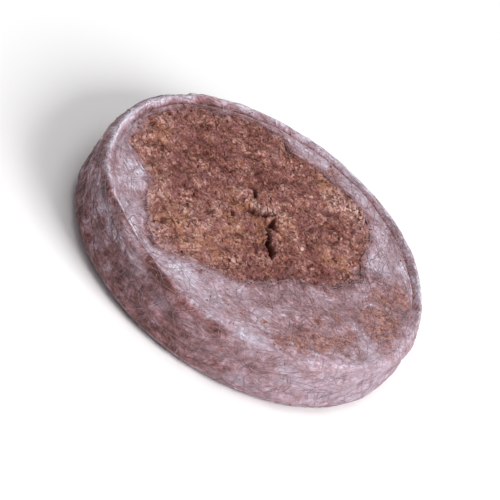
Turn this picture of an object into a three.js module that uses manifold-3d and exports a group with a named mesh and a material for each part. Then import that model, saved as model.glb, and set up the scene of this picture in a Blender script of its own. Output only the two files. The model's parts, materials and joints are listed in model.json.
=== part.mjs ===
// A dry, compressed peat pellet for starting seeds, lying face up.
// A disc of milled peat sits in a sleeve of thin fleece. The sleeve covers the wall and is folded
// over both faces, where it leaves an open window with bare peat in it. The top window is off
// centre and holds the ragged slit of the closed planting hole.
// Millimetres, +Z up. The origin is the middle of the flat underside, and -Y is the near side.
import * as THREE from "three";
import { mergeVertices } from "three/addons/utils/BufferGeometryUtils.js";
import Module from "manifold-3d";

// Driving dimensions of the pellet
const PELLET_DIAMETER = 42; // across the wall
const LIP_DIAMETER = 40.2; // across the crest of the raised lip round the top face
const THICKNESS = 7.8; // from the underside to the lip's crest
const BOTTOM_ROUNDING = 1.9; // radius where the wall turns under
const SHOULDER_HEIGHT = 2; // of the curve from the lip down to the straight wall
const SHOULDER_CORNER = 0.45; // drop of that curve's corner point below the lip
const LIP_WIDTH = 0.5;
const LIP_ROUNDING = 0.12; // drop of the lip's two edges below its crest
const FOLD_RADIUS = 19.3; // where the lip ends and the folded fleece begins
const FOLD_DROP = 0.3; // of the folded fleece below the lip
const CREASE_DEPTH = 0.06; // of the crease just inside the lip, below the folded fleece
const FLEECE = 0.4; // fleece, with the dust that is pressed into it
const GAP = 0.3; // between the fleece and the peat
const PEAT_EDGE_DROP = 0.15; // of the bare peat at the window's edge
const PEAT_RECESS = 0.2; // of the bare peat above the ground, in the bottom window
const WINDOW_RINGS = [0, 1.3, 2.6, 3.9, 5.2, 6.5, 7.8, 9.1, 10.5, 12]; // on the bare peat
const SEGMENTS = 72; // round the pellet

// Windows in the folded fleece: [degrees from +X, radius], anticlockwise seen from above
const WINDOW_RADIUS = 14; // of both windows as turned, before they take these outlines
const TOP_WINDOW = [
  [0, 10.2], [20, 12.2], [36, 13.1], [52, 15.8], [66, 16.1], [80, 15.7], [91, 16.9], [100, 15.9],
  [112, 18], [132, 18.5], [170, 18.7], [186, 18.5], [196, 16.7], [205, 15.1], [216, 16.2],
  [230, 17.1], [244, 15.8], [258, 13.3], [272, 12], [290, 10.9], [302, 8.6], [318, 7.9], [338, 8.8],
];
const BOTTOM_WINDOW = [
  [15, 9.1], [60, 8.3], [105, 9.4], [150, 8.8], [195, 9.6], [240, 8.5], [285, 9.2], [330, 8.4],
];

// Planting slit in the top face: the middle of its mouth as [x, y], and half its width there
const SLIT_MIDDLE = [
  [-3.4, 1], [-1.7, 1.7], [0.1, 1.2], [0.6, -1], [1.5, -2.6], [2.2, -4.1],
];
const SLIT_HALF_WIDTH = [0.12, 0.3, 0.62, 0.42, 0.6, 0.3];
const SLIT_DEPTH = 2.6;
const MOUTH_DEPTH = 1.1; // of the crumbled mouth, below which the slit narrows
const SLIT_NARROWING = 0.55; // of the slit's width, below the mouth

// Lap seam of the sleeve, up the far side of the wall: it rises slowly and ends in a step
const SEAM_START = 128; // degrees from +X
const SEAM_FULL = 137;
const SEAM_END = 142;
const SEAM_HEIGHT = 0.25;

// Relief that the press left, as sums of waves: [height, waves per unit of a, of b, phase]
const OUTLINE_WAVES = [[0.1, 2, 0, 0.4], [0.07, 3, 0, 2.1], [0.04, 7, 0, 1.2]]; // of the angle
const WALL_WAVES = [[0.08, 4, 2.2, 0.6], [0.06, 9, -2.8, 2.5], [0.04, 15, 1.6, 4.1]]; // angle, z
const FACE_WAVES = [[0.09, 0.42, 0.31, 0.3], [0.07, -0.66, 0.58, 1.9], [0.04, 1.05, -0.84, 3.4]];
const PEAT_WAVES = [[0.09, 1.7, 0.9, 0.8], [0.08, -1.2, 1.8, 2.7], [0.06, 2.3, -1.5, 5.1]]; // x, y
const RELIEF_START = [0.6, 2]; // heights between which the wall's relief grows from nothing
const TOP_SIDE = [4, 6]; // heights between which a point comes to belong to the top face
const LIP_EVENNESS = 0.75; // share of the face's relief that the lip doesn't take

const PELLET_RADIUS = PELLET_DIAMETER / 2;
const LIP_RADIUS = LIP_DIAMETER / 2;
const FOLD_HEIGHT = THICKNESS - FOLD_DROP;
const { smoothstep, lerp, euclideanModulo, radToDeg } = THREE.MathUtils;

function at(radius, height) {
  return new THREE.Vector2(radius, height);
}

// A smooth closed outline through [degrees, radius] points, as a function of the angle
function outline(points) {
  const before = points.slice(-2).map(([degrees, radius]) => [degrees - 360, radius]);
  const after = points.slice(0, 2).map(([degrees, radius]) => [degrees + 360, radius]);
  const all = [...before, ...points, ...after];
  const curve = new THREE.CubicInterpolant(all.map((p) => p[0]), all.map((p) => p[1]), 1);
  return (degrees) => curve.evaluate(degrees)[0];
}

const topWindow = outline(TOP_WINDOW);
const bottomWindow = outline(BOTTOM_WINDOW);

// The sleeve's outer line in the half plane, from the top window's edge to the bottom window's
function sleeveLine(wallSteps, curveSteps, foldSteps) {
  const lipInside = LIP_RADIUS - LIP_WIDTH / 2;
  const lipOutside = LIP_RADIUS + LIP_WIDTH / 2;
  const footRadius = PELLET_RADIUS - BOTTOM_ROUNDING;
  const wallTop = THICKNESS - SHOULDER_HEIGHT;
  const fold = new THREE.LineCurve(
    at(WINDOW_RADIUS, FOLD_HEIGHT),
    at(FOLD_RADIUS, FOLD_HEIGHT - CREASE_DEPTH),
  );
  const shoulder = new THREE.QuadraticBezierCurve(
    at(lipOutside, THICKNESS - LIP_ROUNDING),
    at(PELLET_RADIUS, THICKNESS - SHOULDER_CORNER),
    at(PELLET_RADIUS, wallTop),
  );
  const wall = new THREE.LineCurve(at(PELLET_RADIUS, wallTop), at(PELLET_RADIUS, BOTTOM_ROUNDING));
  const turnUnder = new THREE.EllipseCurve(
    footRadius, BOTTOM_ROUNDING, BOTTOM_ROUNDING, BOTTOM_ROUNDING, 0, -Math.PI / 2, true,
  );
  const foot = new THREE.LineCurve(at(footRadius, 0), at(WINDOW_RADIUS, 0));
  return [
    ...fold.getPoints(foldSteps),
    at(lipInside, THICKNESS - LIP_ROUNDING),
    at(LIP_RADIUS, THICKNESS),
    ...shoulder.getPoints(curveSteps),
    ...wall.getPoints(wallSteps).slice(1),
    ...turnUnder.getPoints(curveSteps).slice(1),
    ...foot.getPoints(foldSteps).slice(1),
  ];
}

// The same line moved square to itself, into the pellet. Its two ends stay at the windows.
function movedIn(line, distance) {
  return line.map((point, i) => {
    const ahead = line[Math.min(i + 1, line.length - 1)];
    const behind = line[Math.max(i - 1, 0)];
    const along = ahead.clone().sub(behind).normalize();
    return at(point.x - Math.abs(along.y) * distance, point.y - along.x * distance);
  });
}

function relief(waves, a, b) {
  return waves.reduce((sum, [height, perA, perB, phase]) => {
    return sum + height * Math.sin(perA * a + perB * b + phase);
  }, 0);
}

function seamHeight(degrees) {
  return degrees < SEAM_END ? SEAM_HEIGHT * smoothstep(degrees, SEAM_START, SEAM_FULL) : 0;
}

// Moves a turned radius so that the round window there takes its own outline
function openedRadius(radius, window) {
  if (radius <= WINDOW_RADIUS) {
    return radius * (window / WINDOW_RADIUS);
  }
  if (radius >= FOLD_RADIUS) {
    return radius;
  }
  return lerp(window, FOLD_RADIUS, (radius - WINDOW_RADIUS) / (FOLD_RADIUS - WINDOW_RADIUS));
}

// Gives a turned solid the pellet's real form. Peat and fleece were pressed together, so both take
// the same relief and the gap between them stays. The bare peat has crumbs of its own as well.
function press(geometry, crumbs = []) {
  const position = geometry.getAttribute("position");
  const point = new THREE.Vector3();
  for (let i = 0; i < position.count; i++) {
    point.fromBufferAttribute(position, i);
    const turnedRadius = Math.hypot(point.x, point.y);
    const angle = Math.atan2(point.y, point.x);
    const degrees = euclideanModulo(radToDeg(angle), 360);
    const onTop = smoothstep(point.z, ...TOP_SIDE);
    const window = point.z > TOP_SIDE[1] ? topWindow(degrees) : bottomWindow(degrees);
    let radius = openedRadius(turnedRadius, window);
    const x = radius * Math.cos(angle);
    const y = radius * Math.sin(angle);
    const atWall = smoothstep(radius, FOLD_RADIUS, LIP_RADIUS);
    const bare = 1 - smoothstep(turnedRadius, WINDOW_RADIUS - 2, WINDOW_RADIUS - GAP);
    const wallShare = atWall * smoothstep(point.z, ...RELIEF_START);
    radius += (radius / PELLET_RADIUS) * relief(OUTLINE_WAVES, angle, 0);
    radius += wallShare * (relief(WALL_WAVES, angle, point.z) + seamHeight(degrees));
    const pressed = (1 - LIP_EVENNESS * atWall) * relief(FACE_WAVES, x, y);
    const lift = onTop * (pressed + bare * relief(crumbs, x, y));
    position.setXYZ(i, radius * Math.cos(angle), radius * Math.sin(angle), point.z + lift);
  }
  return geometry;
}

// Turns a closed line, listed from the top window outwards and down, about the Z axis
function turned(line) {
  return new THREE.LatheGeometry([...line].reverse(), SEGMENTS).rotateX(Math.PI / 2);
}

// The sleeve is one closed band of cloth. Its hidden inner face has fewer steps.
function sleeveGeometry() {
  const outer = sleeveLine(5, 4, 3);
  const inner = movedIn(sleeveLine(3, 2, 1), FLEECE).reverse();
  return press(turned([...outer, ...inner, outer[0]]));
}

// The plug fills the sleeve and comes up through both windows
function plugGeometry() {
  const hidden = movedIn(sleeveLine(3, 2, 1), FLEECE + GAP);
  const edge = WINDOW_RADIUS - GAP;
  return press(turned([
    ...WINDOW_RINGS.map((radius) => at(radius, FOLD_HEIGHT)),
    at(edge, FOLD_HEIGHT - PEAT_EDGE_DROP),
    at(edge, hidden[0].y),
    ...hidden,
    at(edge, hidden.at(-1).y),
    at(edge, PEAT_RECESS),
    at(0, PEAT_RECESS),
  ]), PEAT_WAVES);
}

// The ragged outline of the slit, made narrower by the given share
function slitShape(share) {
  const middle = SLIT_MIDDLE.map(([x, y]) => new THREE.Vector2(x, y));
  const side = (sign) => middle.map((point, i) => {
    const ahead = middle[Math.min(i + 1, middle.length - 1)];
    const behind = middle[Math.max(i - 1, 0)];
    const along = ahead.clone().sub(behind).normalize();
    const out = sign * share * SLIT_HALF_WIDTH[i];
    return new THREE.Vector2(point.x - along.y * out, point.y + along.x * out);
  });
  return new THREE.Shape([...side(1), ...side(-1).reverse()]);
}

// A cutter of that outline, from above the pellet down to the given depth below the top face
function slitCutter(share, depth) {
  const bottom = FOLD_HEIGHT - depth;
  const cutter = new THREE.ExtrudeGeometry(slitShape(share), {
    depth: 2 * THICKNESS - bottom,
    bevelEnabled: false,
  });
  return cutter.translate(0, 0, bottom);
}

const wasm = await Module();
wasm.setup();

function solidOf(geometry) {
  const merged = mergeVertices(geometry.deleteAttribute("normal").deleteAttribute("uv"), 1e-3);
  return new wasm.Manifold(new wasm.Mesh({
    numProp: 3,
    vertProperties: merged.getAttribute("position").array,
    triVerts: new Uint32Array(merged.index.array),
  }));
}

function geometryOf(solid) {
  const { vertProperties, triVerts } = solid.getMesh();
  const geometry = new THREE.BufferGeometry();
  geometry.setAttribute("position", new THREE.BufferAttribute(vertProperties, 3));
  geometry.setIndex(new THREE.BufferAttribute(triVerts, 1));
  geometry.computeVertexNormals();
  return geometry;
}

function slittedPlug() {
  const mouth = solidOf(slitCutter(1, MOUTH_DEPTH));
  const slit = solidOf(slitCutter(SLIT_NARROWING, SLIT_DEPTH));
  return geometryOf(solidOf(plugGeometry()).subtract(mouth.add(slit)));
}

const peat = new THREE.MeshStandardMaterial({ color: "#8f6055", roughness: 1, metalness: 0 });
const fleece = new THREE.MeshStandardMaterial({ color: "#ab929b", roughness: 0.95, metalness: 0 });

const plug = new THREE.Mesh(slittedPlug(), peat);
plug.name = "peat_plug";
const sleeve = new THREE.Mesh(sleeveGeometry(), fleece);
sleeve.name = "fleece_sleeve";

// The relief moves the outline a little, so the origin goes back to the middle of the underside
const pellet = new THREE.Group();
pellet.add(plug, sleeve);
const middle = new THREE.Box3().setFromObject(pellet).getCenter(new THREE.Vector3());
pellet.position.set(-middle.x, -middle.y, 0);

export default pellet;
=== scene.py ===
# %% [markdown]
# # The looks of a dry peat pellet
# A seed-starting pellet is a disc of milled peat, pressed hard while dry, in a sleeve of thin fleece.
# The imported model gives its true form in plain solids. This lesson lays the real surfaces over them:
# crumbly peat, felted fleece, loose crumbs and the fine fibres that both are made of.

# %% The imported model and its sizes
import json
import math

import bpy
import numpy as np
from mathutils import Matrix, Vector

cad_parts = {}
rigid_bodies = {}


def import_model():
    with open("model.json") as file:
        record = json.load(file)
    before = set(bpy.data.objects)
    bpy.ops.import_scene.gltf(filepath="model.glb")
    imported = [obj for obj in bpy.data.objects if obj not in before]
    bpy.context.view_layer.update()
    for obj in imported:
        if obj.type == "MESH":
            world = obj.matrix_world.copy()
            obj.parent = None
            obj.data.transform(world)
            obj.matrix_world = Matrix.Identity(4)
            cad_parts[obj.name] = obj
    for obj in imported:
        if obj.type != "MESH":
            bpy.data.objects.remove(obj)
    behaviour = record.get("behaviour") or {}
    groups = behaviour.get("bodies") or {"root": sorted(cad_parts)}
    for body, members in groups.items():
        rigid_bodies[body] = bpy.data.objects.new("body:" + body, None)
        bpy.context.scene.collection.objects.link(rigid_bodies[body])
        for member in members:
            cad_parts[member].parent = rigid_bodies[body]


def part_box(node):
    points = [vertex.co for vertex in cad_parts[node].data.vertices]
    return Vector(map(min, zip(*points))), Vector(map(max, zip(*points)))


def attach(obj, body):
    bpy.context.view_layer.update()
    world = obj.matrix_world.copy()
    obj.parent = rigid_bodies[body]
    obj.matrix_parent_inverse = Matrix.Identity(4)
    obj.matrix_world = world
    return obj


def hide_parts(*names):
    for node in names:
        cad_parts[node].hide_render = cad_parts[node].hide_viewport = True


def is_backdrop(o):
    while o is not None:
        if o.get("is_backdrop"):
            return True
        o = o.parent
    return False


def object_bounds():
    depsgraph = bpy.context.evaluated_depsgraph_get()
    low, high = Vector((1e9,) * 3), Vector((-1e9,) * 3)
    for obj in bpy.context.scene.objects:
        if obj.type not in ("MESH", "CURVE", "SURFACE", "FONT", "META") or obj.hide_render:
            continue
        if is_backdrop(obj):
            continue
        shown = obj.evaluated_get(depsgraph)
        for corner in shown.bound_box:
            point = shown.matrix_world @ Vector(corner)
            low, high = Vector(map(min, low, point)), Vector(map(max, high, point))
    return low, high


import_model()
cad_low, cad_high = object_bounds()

MM = 0.001  # shapes are worked out in millimetres, and Blender's unit is the metre
sleeve_low, sleeve_high = (np.array(corner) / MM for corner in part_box("fleece_sleeve"))
RELIEF_OUT = 0.15  # how far the press marks stand out of the wall
RELIEF_UP = 0.05  # and out of the lip
PELLET_RADIUS = (sleeve_high[0] - sleeve_low[0]) / 2 - RELIEF_OUT
THICKNESS = sleeve_high[2] - RELIEF_UP
print(f"pellet: {2 * PELLET_RADIUS:.1f} mm across, {THICKNESS:.1f} mm thick")

# %% [markdown]
# ## The camera
# The top rim is an ellipse in the photograph. The ratio of its axes gives a camera 34 degrees above
# the face, and its long axis is turned 37 degrees clockwise, so the camera is rolled by as much the
# other way. A long lens keeps the rim as good an ellipse as it is there, and the pellet fills the
# frame so that its fibres show.

# %% Camera
CAMERA_ELEVATION = math.radians(33.9)
PICTURE_TURN = math.radians(37.2)
CAMERA_DISTANCE = 0.5
FRAMED_WIDTH = 0.0565
SENSOR_WIDTH = 36.0

camera_data = bpy.data.cameras.new("camera")
camera_data.sensor_width = SENSOR_WIDTH
camera_data.lens = SENSOR_WIDTH * CAMERA_DISTANCE / FRAMED_WIDTH
camera = bpy.data.objects.new("camera", camera_data)
bpy.context.scene.collection.objects.link(camera)
towards_camera = Vector((0, -math.cos(CAMERA_ELEVATION), math.sin(CAMERA_ELEVATION)))
looked_at = Vector((0, 0, THICKNESS * MM / 2))
upright = (-towards_camera).to_track_quat("-Z", "Y").to_matrix().to_4x4()
rolled = upright @ Matrix.Rotation(PICTURE_TURN, 4, "Z")
camera.matrix_world = Matrix.Translation(looked_at + towards_camera * CAMERA_DISTANCE) @ rolled
bpy.context.scene.camera = camera
print(f"camera: {camera_data.lens:.0f} mm lens, {FRAMED_WIDTH / MM:.1f} mm framed")

# %% [markdown]
# ## Roughness that is the same on every run
# Peat and felt have no pattern that repeats, so both are drawn with noise. Blender has noise
# textures, but here the shape itself must be rough, so two small functions work on whole arrays of
# points. `swell` gives smooth hills. `grains` gives packed lumps, each with a tone of its own: it is
# cell noise, in which a point belongs to the nearest of many scattered centres. Both start from
# `hashed`, which turns the address of a cell into a number that looks random but never changes.

# %% Numbers that look random
HASH_STRIDES = np.array([73856093, 19349663, 83492791])  # large primes, one for each axis
SEED_STRIDE = 2654435761
HASH_ROUNDS = [(15, 2246822519), (13, 3266489917)]  # bits to shift by, and a large prime factor


def hashed(cells, seed):
    """A number from 0 to 1 for each whole-number cell."""
    key = (cells.astype(np.int64) * HASH_STRIDES[: cells.shape[-1]]).sum(-1) + seed * SEED_STRIDE
    for shift, factor in HASH_ROUNDS:
        key = ((key ^ (key >> shift)) * factor) & 0xFFFFFFFF
    return ((key ^ (key >> 16)) & 0xFFFFFF) / 0xFFFFFF


print("hashed cells 0 to 3:", hashed(np.arange(4)[:, None], 1).round(2))


# %% Smooth hills
def swell(points, size, seed):
    """Smooth noise from -1 to 1, with hills about size millimetres across."""
    scaled = points / size
    low = np.floor(scaled)
    part = scaled - low
    part = part * part * (3 - 2 * part)
    total = np.zeros(points.shape[:-1])
    for corner in np.ndindex((2,) * points.shape[-1]):
        share = np.where(np.array(corner) == 1, part, 1 - part).prod(-1)
        total += share * hashed(low + corner, seed)
    return 2 * total - 1


print("hills 1 mm across, every 0.3 mm:", swell(0.3 * np.arange(4)[:, None], 1.0, 1).round(2))


# %% Packed grains
def grains(points, size, seed):
    """Packed grains about size millimetres across: their height from 0 to 1, and a tone each."""
    scaled = points / size
    home = np.floor(scaled)
    nearest = np.full(points.shape[:-1], 9.0)
    tone = np.zeros(points.shape[:-1])
    dimensions = points.shape[-1]
    for step in np.ndindex((3,) * dimensions):
        cell = home + step - 1
        centre = cell + np.stack([hashed(cell, seed + axis) for axis in range(dimensions)], -1)
        distance = np.linalg.norm(scaled - centre, axis=-1)
        closer = distance < nearest
        nearest = np.where(closer, distance, nearest)
        tone = np.where(closer, hashed(cell, seed + dimensions), tone)
    return np.clip(1 - 1.4 * nearest**2, 0, 1), tone


print("grains 1 mm across, every 0.3 mm:", grains(0.3 * np.arange(4)[:, None], 1.0, 1)[0].round(2))


# %% Soft steps and humps
def smoothstep(value, low, high):
    """Rises from 0 at low to 1 at high, and starts and ends level."""
    share = np.clip((value - low) / (high - low), 0, 1)
    return share * share * (3 - 2 * share)


def hump(value, middle, reach, power=2):
    """1 at the middle, and fades to 0 on both sides of it, to about a third at the reach."""
    return np.exp(-(((value - middle) / reach) ** power))


print("a hump one reach away from its middle:", round(hump(1.0, 0.0, 1.0), 2))

# %% [markdown]
# ## The form that both pieces share
# Peat and fleece were pressed together, so they share one slow relief and one window outline. The
# values are close to those of the solid model, and so are the surfaces. The torn edge of the window
# is finer: the cloth was cut by a punch and then frayed, so its outline wanders.

# %% Shared form
LIP_RADIUS = PELLET_RADIUS - 0.85
FOLD_RADIUS = LIP_RADIUS - 0.85  # where the folded fleece meets the lip
FOLD_HEIGHT = THICKNESS - 0.3
BOTTOM_ROUNDING = 1.9
FOOT_RADIUS = PELLET_RADIUS - BOTTOM_ROUNDING
TOP_WINDOW = [  # degrees round, and radius of the edge there
    (0, 10.8), (20, 12.2), (36, 13.1), (52, 15.9), (66, 17), (80, 15.9), (90, 17.5), (99, 16),
    (112, 18.4), (132, 18.9), (170, 18.9), (189, 18.7), (196, 15.2), (205, 14.8), (218, 15.7),
    (232, 16.8), (242, 18.1), (246, 17.1), (250, 14.4), (257, 13.3), (264, 12.4), (273, 11.6),
    (283, 10.5), (290, 10), (302, 8.5), (318, 7.9), (338, 8.8),
]
BOTTOM_WINDOW = [
    (15, 9.1), (60, 8.3), (105, 9.4), (150, 8.8), (195, 9.6), (240, 8.5), (285, 9.2), (330, 8.4),
]
TOP_EDGE_SEED, BOTTOM_EDGE_SEED = 31, 41  # peat and cloth share them, so that their edges meet
TATTERS = [(3.1, 0.42), (1.2, 0.36), (0.45, 0.14)]  # length along the edge, how far they stand out
WIDEST_WINDOW = FOLD_RADIUS - 0.3
EASING = np.linspace(-5, 5, 9)  # degrees: each corner of an outline is eased over these
print(f"lip at radius {LIP_RADIUS:.2f} mm, fold at {FOLD_RADIUS:.2f} mm")


# %% Outlines of the windows
def degrees_of(x, y):
    """Angle round the pellet, from 0 to 360 degrees."""
    return np.degrees(np.arctan2(y, x)) % 360


def degrees_off(degrees, middle):
    """How many degrees an angle is off a middle, the shorter way round."""
    return np.abs((degrees - middle + 180) % 360 - 180)


def frayed_outline(points, degrees, seed):
    """Radius of a window's edge: the listed points eased, with tatters on them."""
    angles, radii = np.array(points, float).T
    eased = np.interp(degrees[..., None] + EASING, angles, radii, period=360).mean(-1)
    turn = np.radians(degrees)
    edge = np.stack([eased * np.cos(turn), eased * np.sin(turn)], -1)
    for number, (length, out) in enumerate(TATTERS):
        eased = eased + out * swell(edge, length, seed + number)
    return np.minimum(eased, WIDEST_WINDOW)


for name, points, seed in (("top", TOP_WINDOW, TOP_EDGE_SEED), ("bottom", BOTTOM_WINDOW, BOTTOM_EDGE_SEED)):
    outline = frayed_outline(points, np.arange(360.0), seed)
    print(f"{name} window: edge {outline.min():.1f} to {outline.max():.1f} mm from the middle")


# %% Slow relief
# Each wave has a height in mm, its paces along two directions, and a phase.
OUTLINE_WAVES = [(0.1, 2, 0, 0.4), (0.07, 3, 0, 2.1), (0.04, 7, 0, 1.2)]
WALL_WAVES = [(0.08, 4, 2.2, 0.6), (0.06, 9, -2.8, 2.5), (0.04, 15, 1.6, 4.1)]
FACE_WAVES = [(0.09, 0.42, 0.31, 0.3), (0.07, -0.66, 0.58, 1.9), (0.04, 1.05, -0.84, 3.4)]
SEAM_START, SEAM_FULL, SEAM_END = 128, 137, 142  # degrees: here the sleeve's two ends overlap
SEAM_HEIGHT = 0.25
FACE_KEPT_AT_WALL = 0.25  # the face's waves fade to this share at the lip


def waves(table, a, b):
    """Adds up the sine waves of a table."""
    return sum(height * np.sin(per_a * a + per_b * b + phase) for height, per_a, per_b, phase in table)


def pressed_in(points):
    """Gives turned points the slow relief that the press left."""
    x, y, z = points[..., 0], points[..., 1], points[..., 2]
    angle, degrees, radius = np.arctan2(y, x), degrees_of(x, y), np.hypot(x, y)
    at_wall = smoothstep(radius, FOLD_RADIUS, LIP_RADIUS)
    seam = SEAM_HEIGHT * smoothstep(degrees, SEAM_START, SEAM_FULL) * (degrees < SEAM_END)
    moved = radius + radius / PELLET_RADIUS * waves(OUTLINE_WAVES, angle, 0)
    moved = moved + at_wall * smoothstep(z, 0.6, 2) * (waves(WALL_WAVES, angle, z) + seam)
    on_top = smoothstep(z, 4, 6) * (1 - (1 - FACE_KEPT_AT_WALL) * at_wall)
    lifted = z + on_top * waves(FACE_WAVES, x, y)
    return np.stack([moved * np.cos(angle), moved * np.sin(angle), lifted], -1)


print(f"relief: up to {sum(wave[0] for wave in WALL_WAVES):.2f} mm on the wall")

# %% [markdown]
# ## From arrays to meshes
# A turned surface is a grid of points: rows run along the profile and columns round the pellet. One
# function makes the faces of such a grid, and one more makes the Blender mesh. Colour has to follow
# the shape in places, such as pale lint at the window's edge. Painting a picture would need a UV
# layout, so the values that a material should read are worked out here and stored on the points.

# %% Faces of a grid
def grid_faces(rows, columns, closed_rows):
    """Quads of a grid whose columns close on themselves, and whose rows may too."""
    row = np.arange(rows if closed_rows else rows - 1)[:, None]
    column = np.arange(columns)[None]
    next_row = (row + 1) % rows
    next_column = (column + 1) % columns
    corners = [
        next_row * columns + column,
        next_row * columns + next_column,
        row * columns + next_column,
        row * columns + column,
    ]
    return np.stack(corners, -1).reshape(-1, 4)


print("faces of a grid of 3 rows by 4 columns:", len(grid_faces(3, 4, False)))


# %% Pieces, and values for their points
def make_piece(name, points, faces, values=None, smooth=True):
    """A mesh of points in millimetres, riding on the pellet, with values on its points."""
    mesh = bpy.data.meshes.new(name)
    mesh.from_pydata((points.reshape(-1, 3) * MM).tolist(), [], [list(face) for face in faces])
    for value_name, value in (values or {}).items():
        is_vector = value.size == 3 * len(mesh.vertices)
        kind, field = ("FLOAT_VECTOR", "vector") if is_vector else ("FLOAT", "value")
        attribute = mesh.attributes.new(value_name, kind, "POINT")
        attribute.data.foreach_set(field, np.ascontiguousarray(value, np.float32).ravel())
    if smooth:
        mesh.shade_smooth()
    piece = bpy.data.objects.new(name, mesh)
    bpy.context.scene.collection.objects.link(piece)
    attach(piece, "root")
    print(f"{name}: {len(mesh.loops) - 2 * len(mesh.polygons)} triangles")
    return piece


def spots(spot_list, x, y):
    """How much a place lies in one of the soft spots, each an x, a y and a size, from 0 to 1."""
    nearness = [np.exp(-((x - sx) ** 2 + (y - sy) ** 2) / size**2) for sx, sy, size in spot_list]
    return np.max(nearness, 0)


print("a spot of size 1 mm, seen 1 mm off its middle:", round(spots([(0, 0, 1)], 1.0, 0.0), 2))

# %% [markdown]
# ## The bare peat
# Milled peat is crumbs of humus and moss, a millimetre and less, matted with fibre. Pressed, they
# lock into a rough flat face. Sculpting or a voxel remesh could make it, but a fine grid lifted by
# two sizes of packed grains gives the same look with every crumb under control.

# %% Pressed crumbs
BIG_CRUMB, BIG_HEIGHT = 1.25, 0.17
SMALL_CRUMB, SMALL_HEIGHT = 0.55, 0.13
GRIT, GRIT_HEIGHT = 0.28, 0.07
PIT_SPACING, PIT_DEPTH = 0.8, 0.26
CRUMB_MEAN = 0.11  # taken off, so that the crumbs stand as much above the level as below it


def pressed_crumbs(x, y, seed):
    """Relief of the pressed crumbs, and the tone of the crumb at each place."""
    here = np.stack([x, y], -1)
    warp = np.stack([swell(here, 0.9, seed), swell(here, 0.9, seed + 1)], -1)
    big, big_tone = grains(here + 0.3 * warp, BIG_CRUMB, seed + 2)
    small, small_tone = grains(here + 0.2 * warp, SMALL_CRUMB, seed + 6)
    pits = smoothstep(swell(here, PIT_SPACING, seed + 10), 0.5, 0.8)
    relief = BIG_HEIGHT * big * big_tone + SMALL_HEIGHT * small * (0.3 + 0.7 * small_tone)
    relief = relief + GRIT_HEIGHT * swell(here, GRIT, seed + 11) - PIT_DEPTH * pits - CRUMB_MEAN
    return relief, 0.5 * big_tone + 0.5 * small_tone


print(f"crumbs: {BIG_CRUMB} and {SMALL_CRUMB} mm across, pits {PIT_DEPTH} mm deep")

# %% [markdown]
# ## The planting slit
# The seed goes into a slit that a blade pressed into the middle. Dry peat tears there, so the slit is
# a ragged cleft with two shallow arms. A short crack lies beyond them, and a nick to the left. They
# could be cut with a boolean, but as grooves in the same grid they get the crumbs and the raised torn
# lips for nothing. A groove is a line of points, each with half the groove's width there.

# %% Slit and crack
SLIT = [
    (0, -0.1, 0.2), (0.5, -0.6, 0.34), (1.1, -1.4, 0.32), (1.5, -2.2, 0.38), (2, -3.1, 0.44),
    (2.3, -3.8, 0.24),
]
LEFT_ARM = [
    (-3.6, 1.25, 0.28), (-2.7, 1.3, 0.56), (-1.9, 1.65, 0.56), (-1.3, 1.75, 0.5), (-0.6, 2.5, 0.32),
    (-0.2, 2.9, 0.16),
]
RIGHT_ARM = [(0.1, 2.5, 0.14), (0.25, 1.8, 0.3), (0.35, 1.2, 0.36), (0.9, 0.85, 0.36), (1.2, 0.5, 0.14)]
CRACK = [(-4.9, 4.6, 0.16), (-4.1, 4.9, 0.32), (-3.5, 4.6, 0.28), (-3.1, 4.1, 0.14)]
NICK = [(-4.2, -1, 0.2), (-3.9, -1.5, 0.24)]
ARMS = [LEFT_ARM, RIGHT_ARM, CRACK, NICK]
SLIT_DEPTH, MOUTH_DEPTH, ARM_DEPTH = 1.7, 0.6, 1.05
TORN_EDGES = [(0.5, 0.45, 71), (0.22, 0.3, 72)]  # size of a tear, its share of the width, seed
# How far from a groove's middle its side ends and starts, and how far its shade does, in half widths.
SLIT_SIDES, MOUTH_SIDES, ARM_SIDES, SHADE_SIDES = (0.2, 0.75), (0.6, 1.3), (0.4, 1.1), (0.7, 1.35)


def cleft_share(x, y, clefts):
    """Distance from the middle line of the nearest cleft, as a share of its half width there."""
    here = np.stack([x, y], -1)
    best = np.full(x.shape, 99.0)
    for cleft in clefts:
        for (x0, y0, half0), (x1, y1, half1) in zip(cleft, cleft[1:]):
            start, along = np.array([x0, y0]), np.array([x1 - x0, y1 - y0])
            part = np.clip(((here - start) @ along) / (along @ along), 0, 1)
            distance = np.linalg.norm(here - start - part[..., None] * along, axis=-1)
            best = np.minimum(best, distance / (half0 + part * (half1 - half0)))
    return best / (1 + sum(share * swell(here, size, seed) for size, share, seed in TORN_EDGES))


print(f"slit: {len(SLIT)} points, {SLIT_DEPTH} mm deep, with {len(ARMS)} shallower clefts")

# %% Height of the peat
PEAT_WAVES = [(0.09, 1.7, 0.9, 0.8), (0.08, -1.2, 1.8, 2.7), (0.06, 2.3, -1.5, 5.1)]
PEAT_WAVES_SHARE = 0.8
PEAT_LEVEL = FOLD_HEIGHT - 0.12
TORN_LIP_HEIGHT, TORN_LIP_PLACE, TORN_LIP_WIDTH = 0.22, 1.9, 0.7  # the last two in half widths
PEAT_SEED, UNDER_SEED = 81, 101


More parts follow.
